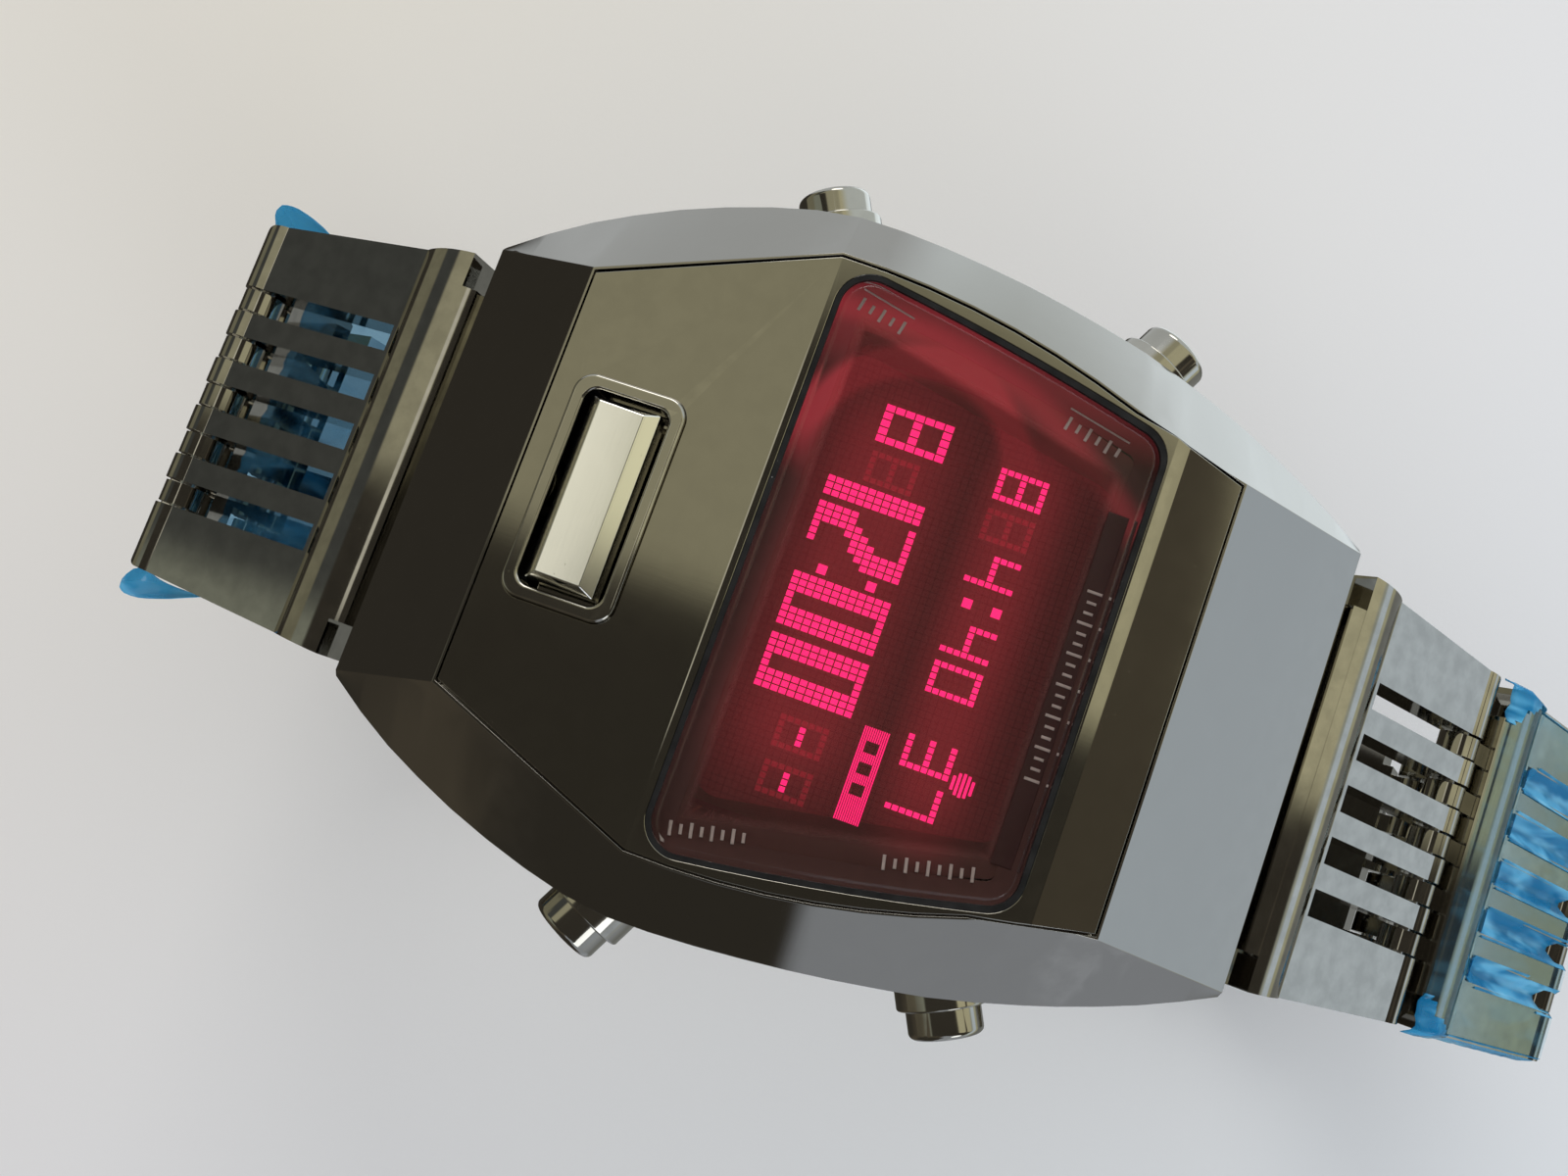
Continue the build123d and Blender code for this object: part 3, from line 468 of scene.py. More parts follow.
@dataclass(frozen=True)
class MetalFinish(Finish):
    """Polished or drawn metal with soft waves, handling marks, dust and bright edges.

    Attributes:
        colour: its colour where it is handled.
        shade: its colour elsewhere.
        rough: least roughness.
        rough_spread: how much handling adds to it.
        grain: strength of the drawn grain.
        grain_scale: how fine the grain is along X, Y and Z.
        wave: strength of the soft waves.
        wear: strength of the bright edges.
    """

    colour: Triple
    shade: Triple
    rough: float
    rough_spread: float
    grain: float
    grain_scale: Triple
    wave: float
    wear: float

    SMUDGE_SCALE = 60.0
    DUST_AMOUNT = 0.35
    DUST_COLOUR = (0.45, 0.44, 0.42)
    DUST_ROUGHNESS = 0.4
    EDGE_GAIN = 1.9
    GRAIN_DEPTH = 0.02 * MM
    WAVE_SCALE = 55.0
    WAVE_DEPTH = 0.4 * MM

    def shader(self, graph: Graph, effects: Effects) -> Socket:
        """Builds the metal.

        Args:
            graph: the material's graph.
            effects: the shared shader groups.

        Returns:
            The shader.
        """
        smudge = graph.group(effects.smudge, {"Scale": self.SMUDGE_SCALE})
        wear = graph.group(effects.wear, {"Amount": self.wear})
        dust = graph.group(effects.dust, {"Amount": self.DUST_AMOUNT})
        grain = graph.group(effects.grain, dict(zip(effects.GRAIN_INPUTS, self.grain_scale)))
        bright = tuple(min(1.0, c * self.EDGE_GAIN) for c in self.colour)
        worn = graph.mix(wear, graph.mix(smudge, self.shade, self.colour), bright)
        rough = graph.spread(smudge, self.rough, self.rough + self.rough_spread)
        rough = graph.plus(rough, graph.times(graph.minus(grain, 0.5), self.grain))
        rough = graph.plus(rough, graph.times(dust, self.DUST_ROUGHNESS))
        wave = graph.group(effects.waves, {"Scale": self.WAVE_SCALE})
        fine = graph.bump(grain, self.grain, self.GRAIN_DEPTH)
        return graph.principled(
            {
                "Base Color": graph.mix(dust, worn, self.DUST_COLOUR),
                "Metallic": 1.0,
                "Roughness": rough,
                "Normal": graph.bump(wave, self.wave, self.WAVE_DEPTH, fine),
            }
        )


@dataclass(frozen=True)
class PlasticFinish(Finish):
    """Moulded plastic, rubber or lacquer with fine texture.

    Attributes:
        colour: its colour where it is handled.
        shade: its colour elsewhere.
        rough: its roughness.
        bump: strength of its fine texture.
        coat: weight of a clear coat.
        gloss: how strongly it mirrors.
    """

    colour: Triple
    shade: Triple
    rough: float
    bump: float
    coat: float = 0.0
    gloss: float = 0.5

    SMUDGE_SCALE = 260.0
    DUST_AMOUNT = 0.5
    DUST_COLOUR = (0.5, 0.49, 0.47)
    EDGE_AMOUNT = 0.3
    EDGE_GAIN = 1.5
    EDGE_LIFT = 0.03
    ROUGH_ENDS = (-0.08, 0.1)
    PEBBLE_SCALE = 4200.0
    PEBBLE_DEPTH = 0.03 * MM

    def shader(self, graph: Graph, effects: Effects) -> Socket:
        """Builds the plastic.

        Args:
            graph: the material's graph.
            effects: the shared shader groups.

        Returns:
            The shader.
        """
        smudge = graph.group(effects.smudge, {"Scale": self.SMUDGE_SCALE})
        dust = graph.group(effects.dust, {"Amount": self.DUST_AMOUNT})
        wear = graph.group(effects.wear, {"Amount": self.EDGE_AMOUNT})
        bright = tuple(min(1.0, c * self.EDGE_GAIN + self.EDGE_LIFT) for c in self.colour)
        edged = graph.mix(wear, graph.mix(smudge, self.shade, self.colour), bright)
        pebble = graph.group(effects.pebble, {"Scale": self.PEBBLE_SCALE})
        return graph.principled(
            {
                "Base Color": graph.mix(dust, edged, self.DUST_COLOUR),
                "Roughness": graph.spread(smudge, *(self.rough + end for end in self.ROUGH_ENDS)),
                "Normal": graph.bump(pebble, self.bump, self.PEBBLE_DEPTH),
                "Coat Weight": self.coat,
                "Specular IOR Level": self.gloss,
            }
        )


@dataclass(frozen=True)
class CrystalFinish(Finish):
    """Smoky mineral glass with faint handling marks, whose shadow is tinted light.

    Attributes:
        tint: colour of what shows through.
        dusty: the same under a speck of dust.
        shadow: colour of the light that passes to what lies behind.
        index: its refractive index.
    """

    tint: Triple = (0.95, 0.88, 0.87)
    dusty: Triple = (0.6, 0.55, 0.53)
    shadow: Triple = (0.86, 0.72, 0.72)
    index: float = 1.45

    DUST = {"Scale": 1300.0, "Amount": 0.25}

    def shader(self, graph: Graph, effects: Effects) -> Socket:
        """Builds the glass.

        Args:
            graph: the material's graph.
            effects: the shared shader groups.

        Returns:
            The shader.
        """
        tint = graph.mix(graph.group(effects.dust, self.DUST), self.tint, self.dusty)
        glass = graph.principled(
            {"Base Color": tint, "Roughness": 0.0, "Transmission Weight": 1.0, "IOR": self.index}
        )
        path = graph.add("ShaderNodeLightPath")
        return graph.blend(path.outputs["Is Shadow Ray"], glass, graph.clear(self.shadow))


@dataclass(frozen=True)
class WindowFinish(Finish):
    """Dark red window print with the lamps' soft glow in it, in the dial's own millimetres.

    Attributes:
        clear_middle: whether the display shows through the middle.
        side_edge: from where to where the clear middle ends at the sides, which lean by side_lean.
        top_edge: the same towards 12 o'clock.
        bottom_edge: the same towards 6 o'clock.
    """

    clear_middle: bool
    side_edge: Pair = (11.9, 12.7)
    side_lean: float = 0.21
    top_edge: Pair = (9.8, 10.7)
    bottom_edge: Pair = (-4.2, -4.8)

    SMUDGE_SCALE = 200.0
    COLOURS = ((0.080, 0.043, 0.039), (0.094, 0.049, 0.044))
    ROUGH_ENDS = (0.4, 0.6)
    GLOSS = 0.1
    UNLIT = (0.0, 0.0, 0.0)
    GLOW_COLOUR = (0.24, 0.016, 0.026)
    GLOW_PARTS = {
        GlowPart.ROWS: 1.2,
        GlowPart.INNER_ARC: 1.3,
        GlowPart.OUTER_ARC: 0.45,
        GlowPart.CORNER: 0.40,
    }
    BEHIND_TINT = (0.94, 0.72, 0.73)
    COVER = (0.25, 0.95)

    def shader(self, graph: Graph, effects: Effects) -> Socket:
        """Builds the print.

        Args:
            graph: the material's graph.
            effects: the shared shader groups.

        Returns:
            The shader.
        """
        smudge = graph.group(effects.smudge, {"Scale": self.SMUDGE_SCALE})
        glow = graph.group(effects.glow, {part.value: level for part, level in self.GLOW_PARTS.items()})
        printed = graph.principled(
            {
                "Base Color": graph.mix(smudge, *self.COLOURS),
                "Roughness": graph.spread(smudge, *self.ROUGH_ENDS),
                "Specular IOR Level": self.GLOSS,
                "Emission Color": graph.mix(glow, self.UNLIT, self.GLOW_COLOUR),
                "Emission Strength": 1.0,
            }
        )
        if not self.clear_middle:
            return printed
        x, y, _ = graph.axes(graph.place())
        reach = graph.plus(graph.size(x), graph.times(y, self.side_lean))
        side, top, bottom = (
            graph.ease(value, ends[0] * MM, ends[1] * MM)
            for value, ends in ((reach, self.side_edge), (y, self.top_edge), (y, self.bottom_edge))
        )
        cover = graph.spread(graph.most(side, graph.most(top, bottom)), *self.COVER)
        return graph.blend(cover, graph.clear(self.BEHIND_TINT), printed)


@dataclass(frozen=True)
class FilmFinish(Finish):
    """Clear blue film with creases, trapped air and a wet gloss.

    Attributes:
        cover: least and greatest share of the light that the film keeps.
        tint: colour of what shows through.
        rim_cover: how much more it keeps where it is seen at a glancing angle.
    """

    cover: Pair
    tint: Triple
    rim_cover: float

    PULL = (1.0, 0.3, 0.3)
    FOLD_SCALE = 650.0
    FOLD_DETAIL = 2.0
    FOLD_TWIST = 0.5
    AIR_ENDS = (0.42, 0.66)
    CREASE_STRENGTH = 0.35
    CREASE_DEPTH = 0.3 * MM
    COLOURS = ((0.02, 0.29, 0.58), (0.16, 0.58, 0.88))
    ROUGH_ENDS = (0.08, 0.2)
    DUST_AMOUNT = 0.3
    DUST_COLOUR = (0.75, 0.82, 0.9)
    RIM_BLEND = 0.2

    def shader(self, graph: Graph, effects: Effects) -> Socket:
        """Builds the film.

        Args:
            graph: the material's graph.
            effects: the shared shader groups.

        Returns:
            The shader.
        """
        pulled = graph.vector("MULTIPLY", graph.place(), self.PULL)
        folds = graph.clouds(pulled, self.FOLD_SCALE, self.FOLD_DETAIL, Distortion=self.FOLD_TWIST)
        air = graph.ease(folds, *self.AIR_ENDS)
        dust = graph.group(effects.dust, {"Amount": self.DUST_AMOUNT})
        crease = graph.bump(folds, self.CREASE_STRENGTH, self.CREASE_DEPTH)
        skin = graph.principled(
            {
                "Base Color": graph.mix(dust, graph.mix(air, *self.COLOURS), self.DUST_COLOUR),
                "Roughness": graph.spread(folds, *self.ROUGH_ENDS),
                "Normal": crease,
            }
        )
        rim = graph.add("ShaderNodeLayerWeight", {"Blend": self.RIM_BLEND, "Normal": crease})
        glancing = graph.times(rim.outputs["Facing"], self.rim_cover)
        body = graph.plus(graph.spread(air, *self.cover), glancing)
        return graph.blend(body, graph.clear(self.tint), skin)


@dataclass(frozen=True)
class PanelFinish(Finish):
    """Unlit light matrix: dark maroon with a faint grid of square cells.

    Attributes:
        pitch: width of a cell in millimetres.
        colours: the cells' two colours.
        line: colour of the lines between them.
        glow: faint light of a cell.
        line_glow: faint light of a line.
    """

    pitch: float
    colours: tuple[Triple, Triple] = ((0.125, 0.064, 0.060), (0.148, 0.075, 0.070))
    line: Triple = (0.035, 0.010, 0.012)
    glow: Triple = (0.030, 0.004, 0.007)
    line_glow: Triple = (0.012, 0.002, 0.003)

    CELLS = {"Mortar Size": 0.06, "Row Height": 1.0, "Brick Width": 1.0}
    SMUDGE_SCALE = 220.0
    ROUGH_ENDS = (0.35, 0.5)
    GLOSS = 0.1

    def shader(self, graph: Graph, effects: Effects) -> Socket:
        """Builds the panel.

        Args:
            graph: the material's graph.
            effects: the shared shader groups.

        Returns:
            The shader.
        """
        inputs = {"Vector": graph.place(), "Scale": 1.0 / (self.pitch * MM), **self.CELLS}
        lines = graph.add("ShaderNodeTexBrick", inputs, offset=0.0).outputs["Fac"]
        smudge = graph.group(effects.smudge, {"Scale": self.SMUDGE_SCALE})
        return graph.principled(
            {
                "Base Color": graph.mix(lines, graph.mix(smudge, *self.colours), self.line),
                "Roughness": graph.spread(smudge, *self.ROUGH_ENDS),
                "Specular IOR Level": self.GLOSS,
                "Emission Color": graph.mix(lines, self.glow, self.line_glow),
                "Emission Strength": 1.0,
            }
        )


@dataclass(frozen=True)
class LampFinish(Finish):
    """A lit or faint cell, brighter in patches.

    Attributes:
        colour: colour of its light.
        strength: strength of its light.
    """

    colour: Triple
    strength: float

    BODY = (0.05, 0.005, 0.01)
    ROUGHNESS = 0.4
    PATCH_SCALE = 500.0
    PATCH_DETAIL = 2.0
    LEAST_SHARE = 0.75

    def shader(self, graph: Graph, effects: Effects) -> Socket:
        """Builds the lamp.

        Args:
            graph: the material's graph.
            effects: the shared shader groups, none of which shows on a lamp.

        Returns:
            The shader.
        """
        patches = graph.clouds(graph.place(), self.PATCH_SCALE, self.PATCH_DETAIL)
        low = tuple(c * self.LEAST_SHARE for c in self.colour)
        return graph.principled(
            {
                "Base Color": self.BODY,
                "Roughness": self.ROUGHNESS,
                "Emission Color": graph.mix(patches, low, self.colour),
                "Emission Strength": self.strength,
            }
        )


@dataclass(frozen=True)
class InkFinish(Finish):
    """Screen-printed ink.

    Attributes:
        colour: its colour.
        rough: its least roughness.
    """

    colour: Triple
    rough: float

    SMUDGE_SCALE = 900.0
    SHADE = 0.8
    ROUGH_SPREAD = 0.15

    def shader(self, graph: Graph, effects: Effects) -> Socket:
        """Builds the ink.

        Args:
            graph: the material's graph.
            effects: the shared shader groups.

        Returns:
            The shader.
        """
        smudge = graph.group(effects.smudge, {"Scale": self.SMUDGE_SCALE})
        base = graph.mix(smudge, tuple(c * self.SHADE for c in self.colour), self.colour)
        rough = graph.spread(smudge, self.rough, self.rough + self.ROUGH_SPREAD)
        return graph.principled({"Base Color": base, "Roughness": rough})


@dataclass(frozen=True)
class FloorFinish(Finish):
    """Pale paper with painted light across it, warm and cool tints and a slightly darker lower part; it fades out
    at its edge and in mirrors.

    Attributes:
        radius: where the floor ends, in metres.
        fade_from: where its edge begins to fade.
    """

    radius: float
    fade_from: float

    ACROSS = (-0.06, 0.07)
    DOWN = (-0.05, 0.06)
    # Painted light: the paper goes from warm to cool across it, and its lower part is a little darker.
    UPPER = ((0.80, 0.77, 0.69), (0.83, 0.85, 0.88))
    LOWER = ((0.74, 0.73, 0.73), (0.72, 0.77, 0.81))
    ROUGHNESS = 0.9
    GRAIN_SCALE = 2500.0
    GRAIN_DETAIL = 2.0
    GRAIN_STRENGTH = 0.1
    GRAIN_DEPTH = 0.1 * MM

    def shader(self, graph: Graph, effects: Effects) -> Socket:
        """Builds the paper.

        Args:
            graph: the material's graph.
            effects: the shared shader groups, none of which shows on the paper.

        Returns:
            The shader.
        """
        place = graph.place()
        x, y, _ = graph.axes(place)
        across = graph.share(y, *self.ACROSS)
        upper, lower = (graph.mix(across, *pair) for pair in (self.UPPER, self.LOWER))
        grain = graph.clouds(place, self.GRAIN_SCALE, self.GRAIN_DETAIL)
        mirrored = graph.add("ShaderNodeLightPath").outputs["Is Glossy Ray"]
        inside = graph.ease(graph.length(place), self.radius, self.fade_from)
        return graph.principled(
            {
                "Base Color": graph.mix(graph.share(x, *self.DOWN), upper, lower),
                "Roughness": self.ROUGHNESS,
                "Normal": graph.bump(grain, self.GRAIN_STRENGTH, self.GRAIN_DEPTH),
                "Alpha": graph.times(inside, graph.minus(1.0, mirrored)),
            }
        )


ALONG_X = (300.0, 5000.0, 300.0)
ALONG_Y = (5000.0, 300.0, 300.0)
EVEN = (900.0, 900.0, 900.0)
BIG_CELL = (0.364, 0.44)

RIM = MetalFinish("RimMetal", (0.42, 0.40, 0.355), (0.38, 0.365, 0.33), 0.06, 0.02, 0.02, EVEN, 0.03, 0.4)
CHROME = MetalFinish(
    "ChromeMetal", (0.88, 0.87, 0.81), (0.86, 0.85, 0.79), 0.10, 0.03, 0.02, ALONG_X, 0.02, 0.1
)
BACK = MetalFinish("BackMetal", (0.55, 0.54, 0.51), (0.47, 0.46, 0.44), 0.24, 0.05, 0.25, ALONG_X, 0.05, 0.3)
STEEL = MetalFinish("PinSteel", (0.52, 0.52, 0.52), (0.44, 0.44, 0.44), 0.22, 0.05, 0.15, ALONG_Y, 0.04, 0.4)
BRASS = MetalFinish(
    "ContactBrass", (0.78, 0.60, 0.30), (0.66, 0.50, 0.25), 0.25, 0.05, 0.15, ALONG_X, 0.05, 0.3
)
FILM_STUCK = FilmFinish("BlueFilmStuck", (0.01, 0.04), (0.93, 0.98, 0.99), 0.05)
FILM_LOOSE = FilmFinish("BlueFilmLoose", (0.45, 0.8), (0.40, 0.82, 1.0), 0.3)
# Painted shade: a darker copy of the film, for the film behind the first 6 o'clock link's slots; it lets less
# light through.
FILM_PAINTED_SHADE = FilmFinish("BlueFilmPaintedShade", (0.02, 0.2), (0.50, 0.68, 0.80), 0.1)
LIT_CELLS = LampFinish("LitCells", (1.0, 0.022, 0.27), 3.3)
DIM_CELLS = LampFinish("DimCells", (0.30, 0.016, 0.04), 1.0)
BORDER_PRINT = WindowFinish("BorderPrint", False)
STRIP_INK = InkFinish("StripInk", (0.040, 0.010, 0.011), 0.3)
MARK_INK = InkFinish("MarkInk", (0.60, 0.56, 0.53), 0.4)

SLOT_FINISHES = {
    "case_metal": MetalFinish(
        "CaseMetal", (0.355, 0.338, 0.310), (0.345, 0.328, 0.300), 0.05, 0.02, 0.01, ALONG_X, 0.02, 0.2
    ),
    "cover_metal": MetalFinish(
        "CoverMetal", (0.350, 0.332, 0.290), (0.340, 0.322, 0.280), 0.055, 0.02, 0.01, ALONG_Y, 0.02, 0.2
    ),
    "bracelet_metal": MetalFinish(
        "LinkMetal", (0.350, 0.335, 0.300), (0.335, 0.320, 0.290), 0.05, 0.02, 0.01, ALONG_X, 0.02, 0.3
    ),
    "can_metal": MetalFinish(
        "CanMetal", (0.75, 0.75, 0.74), (0.65, 0.65, 0.65), 0.25, 0.05, 0.1, ALONG_Y, 0.03, 0.2
    ),
    "polished": RIM,
    "pin_steel": STEEL,
    "spring_steel": STEEL,
    "battery_steel": BACK,
    "back_metal": BACK,
    "contact_metal": BRASS,
    "buzzer_metal": BRASS,
    "crystal": CrystalFinish("CrystalGlass"),
    "film_blue": FILM_STUCK,
    "panel_plastic": PanelFinish("MatrixPanel", BIG_CELL[0]),
    "mask_print": WindowFinish("MaskPrint", True),
    "seal_rubber": PlasticFinish(
        "SealRubber", (0.008, 0.008, 0.008), (0.005, 0.005, 0.005), 0.6, 0.5, gloss=0.15
    ),
    "board": PlasticFinish("BoardLacquer", (0.03, 0.17, 0.08), (0.02, 0.12, 0.06), 0.35, 0.3, 0.5),
    "chip_plastic": PlasticFinish("ChipPlastic", (0.03, 0.03, 0.03), (0.02, 0.02, 0.02), 0.5, 0.6),
    "frame_plastic": PlasticFinish("FramePlastic", (0.06, 0.06, 0.065), (0.04, 0.04, 0.045), 0.5, 0.5),
}


class PaintBox:
    """Makes each finish's material once and hands it out."""

    def __init__(self) -> None:
        """Builds the shared effects."""
        self.effects = Effects()
        self.made: dict[str, Material] = {}

    def get(self, finish: Finish) -> Material:
        """Finds a finish's material, which is made at its first use.

        Args:
            finish: the finish.

        Returns:
            Its material.
        """
        if finish.name not in self.made:
            self.made[finish.name] = finish.material(self.effects)
        return self.made[finish.name]


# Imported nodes

SAME_PLACE = 2e-6


def place_key(point: Vector) -> tuple[int, ...]:
    """A point rounded so that the same corner of two faces gives the same key."""
    return tuple(round(c / SAME_PLACE) for c in point)


@dataclass(frozen=True)
class Rounding:
    """Rounds a node's edges with modifiers, which leave its own vertices as they are.

    Attributes:
        radius: in millimetres.
        least_angle: the least angle in degrees that counts as an edge.
    """

    radius: float
    least_angle: float = 4.0

    WELD = 0.002 * MM
    FLAT_DEG = 0.4
    SEGMENTS = 3
    FACE_WEIGHT = 80

    def weigh_edges(self, mesh: bpy.types.Mesh) -> None:
        """Gives a bevel weight to the edges where two surfaces meet at an angle.

        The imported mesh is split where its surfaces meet, and carries their true normals. An edge counts
        only where the normals on its two sides differ, so a seam between tangent surfaces stays smooth.

        Args:
            mesh: the node's mesh.
        """
        normals = [n.vector.copy() for n in mesh.corner_normals]
        sides: dict = {}
        for face in mesh.polygons:
            loops = list(face.loop_indices)
            for loop, after in zip(loops, loops[1:] + loops[:1]):
                corners = {c: mesh.vertices[mesh.loops[c].vertex_index].co for c in (loop, after)}
                ends = {place_key(point): normals[c] for c, point in corners.items()}
                sides.setdefault(frozenset(ends), []).append((mesh.loops[loop].edge_index, ends))
        weights = mesh.attributes.new("bevel_weight_edge", "FLOAT", "EDGE")
        least = math.radians(self.least_angle)
        for uses in sides.values():
            if len(uses) != 2:
                continue
            (edge_a, ends_a), (edge_b, ends_b) = uses
            turn = max(ends_a[key].angle(ends_b[key], 0.0) for key in ends_a)
            if turn > least:
                weights.data[edge_a].value = 1.0
                weights.data[edge_b].value = 1.0

    def apply(self, obj: Piece) -> None:
        """Rounds one node.

        Args:
            obj: the node's object.
        """
        mesh = obj.data
        self.weigh_edges(mesh)
        stored = mesh.attributes.get("custom_normal")
        if stored:
            mesh.attributes.remove(stored)
        mesh.shade_smooth()
        weld = obj.modifiers.new("Weld", "WELD")
        weld.merge_threshold = self.WELD
        flat = obj.modifiers.new("Flat", "DECIMATE")
        flat.decimate_type = "DISSOLVE"
        flat.angle_limit = math.radians(self.FLAT_DEG)
        bevel = obj.modifiers.new("Edges", "BEVEL")
        bevel.width = self.radius * MM
        bevel.segments = self.SEGMENTS
        bevel.limit_method = "WEIGHT"
        bevel.use_clamp_overlap = True
        bevel.harden_normals = True
        bevel.miter_outer = "MITER_ARC"
        even = obj.modifiers.new("Shading", "WEIGHTED_NORMAL")
        even.mode = "FACE_AREA"
        even.weight = self.FACE_WEIGHT
        even.keep_sharp = True


@dataclass(frozen=True)
class PackedParts:
    """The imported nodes: the finish of each one and the rounding of what shows.

    Attributes:
        link: rounding of every link.
        pusher: rounding of every side pusher.
        mask_gap: how much the window sheet shrinks, in millimetres, so that it clears what lies on it.
    """

    link: Rounding = Rounding(0.3)
    pusher: Rounding = Rounding(0.12)
    mask_gap: float = 0.03

    ROUNDINGS = {
        "mid_case": Rounding(0.3, 13.0),
        "front_cover": Rounding(0.22),
        "case_back": Rounding(0.1),
        "button_frame": Rounding(0.2),
        "front_button": Rounding(0.12),
        "crystal": Rounding(0.06),
        "pusher_collars": Rounding(0.12),
        "clasp_cover": Rounding(0.16),
        "clasp_inner_blade": Rounding(0.1),
        "clasp_outer_blade": Rounding(0.1),
        "battery": Rounding(0.1),
        "module_frame": Rounding(0.1),
    }

    def rounding_of(self, name: str) -> Rounding | None:
        """The rounding of a node, which links and pushers share.

        Args:
            name: the node's name.

        Returns:
            Its rounding, or None where its edges stay sharp.
        """
        if name.startswith("link_") and "pin" not in name:
            return self.link
        if name.startswith("pusher_") and name.split("_")[1] in ("3", "9"):
            return self.pusher
        return self.ROUNDINGS.get(name)

    def build(self, paints: PaintBox) -> list[Piece]:
        """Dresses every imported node.

        Args:
            paints: the materials.

        Returns:
            The nodes' objects.
        """
        slots = {row["node"]: row["material_slot"] for row in frame["record"]["subparts"]}
        for name, obj in frame["nodes"].items():
            finish = CHROME if name == "front_button" else SLOT_FINISHES[slots[name]]
            obj.data.materials.clear()
            obj.data.materials.append(paints.get(finish))
            rounding = self.rounding_of(name)
            if rounding:
                rounding.apply(obj)
        shrink = frame["nodes"]["display_mask"].modifiers.new("Clear", "DISPLACE")
        shrink.mid_level = 0.0
        shrink.strength = -self.mask_gap * MM
        return list(frame["nodes"].values())


# New pieces


def new_piece(name: str, mesh: bmesh.types.BMesh, materials: list[Material], body: str) -> Piece:
    """Turns a mesh into a piece that rides on a body.

    Args:
        name: the piece's name.
        mesh: its mesh, which is freed.
        materials: its materials.
        body: the body it rides on.

    Returns:
        The piece's object.
    """
    data = bpy.data.meshes.new(name)
    mesh.to_mesh(data)
    mesh.free()
    obj = bpy.data.objects.new(name, data)
    bpy.context.scene.collection.objects.link(obj)
    for material in materials:
        data.materials.append(material)
    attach(obj, body)
    return obj


class CellSheet:
    """Collects thin raised cells into one mesh; every size is in millimetres."""

    GAP = 0.07
    HEIGHT = 0.03

    def __init__(self, name: str, base: float) -> None:
        """Starts an empty sheet.

        Args:
            name: name of the piece it becomes.
            base: height of the cells' lower side.
        """
        self.name = name
        self.base = base
        self.mesh = bmesh.new()

    def cell(self, x: float, y: float, wide: float, tall: float) -> None:
        """Adds one cell whose lower left corner is at x, y."""
        self.bar((x + wide / 2, y + tall / 2), (1.0, 0.0), wide, tall)

    def bar(self, middle: Pair, along: Pair, length: float, width: float) -> None:
        """Adds one cell that may be turned.

        Args:
            middle: its middle.
            along: direction of its length.
            length: its length.
            width: its width.
        """
        rings = []
        for shrink, level in ((0.0, self.base), (min(self.GAP, width, length) / 3, self.base + self.HEIGHT)):
            half_long, half_wide = length / 2 - shrink, width / 2 - shrink
            ring = []
            for i, j in ((-1, -1), (1, -1), (1, 1), (-1, 1)):
                x = middle[0] + i * half_long * along[0] - j * half_wide * along[1]
                y = middle[1] + i * half_long * along[1] + j * half_wide * along[0]
                ring.append(self.mesh.verts.new((x * MM, y * MM, level * MM)))
            rings.append(ring)
        bottom, top = rings
        self.mesh.faces.new(top)
        self.mesh.faces.new(bottom[::-1])
        for i, j in ((0, 1), (1, 2), (2, 3), (3, 0)):
            self.mesh.faces.new((bottom[i], bottom[j], top[j], top[i]))

    def glyph(self, rows: list[str], x: float, y: float, cell: Pair) -> None:
        """Adds a glyph.

        Args:
            rows: its rows of cells, the first of which is its top.
            x: its left edge.
            y: its lower edge.
            cell: width and height of a cell with its gap.
        """
        wide, tall = cell
        for i, row in enumerate(reversed(rows)):
            for j, mark in enumerate(row):
                if mark == "1":
                    self.cell(x + j * wide, y + i * tall, wide - self.GAP, tall - self.GAP)

    def finish(self, material: Material, slot: Slot) -> Piece:
        """Turns the cells into a piece that rides on the case."""
        return new_piece(self.name, self.mesh, [material], "case")


BIG_GLYPHS = {
    "0": ["11111111"] + ["11100111"] * 10 + ["11111111"],
    "1": ["111"] * 12,
    "2": ["11111111", "00000111", "00000111", "00000111", "00001111", "00011110", "00111100", "11110000",
          "11100000", "11100000", "11100000", "11111100"],
}
SMALL_GLYPHS = {
    "0": ["11111", "10001", "10001", "10001", "10001", "10001", "11111"],
    "3": ["11111", "00001", "00001", "11111", "00001", "00001", "11111"],
    "4": ["10001", "10001", "10001", "11111", "00001", "00001", "00001"],
    "7": ["11111", "00001", "00001", "00001", "00001", "00001", "00001"],
    "8": ["11111", "10001", "10001", "11111", "10001", "10001", "11111"],
    "-": ["00000", "00000", "00000", "01110", "00000", "00000", "00000"],
}


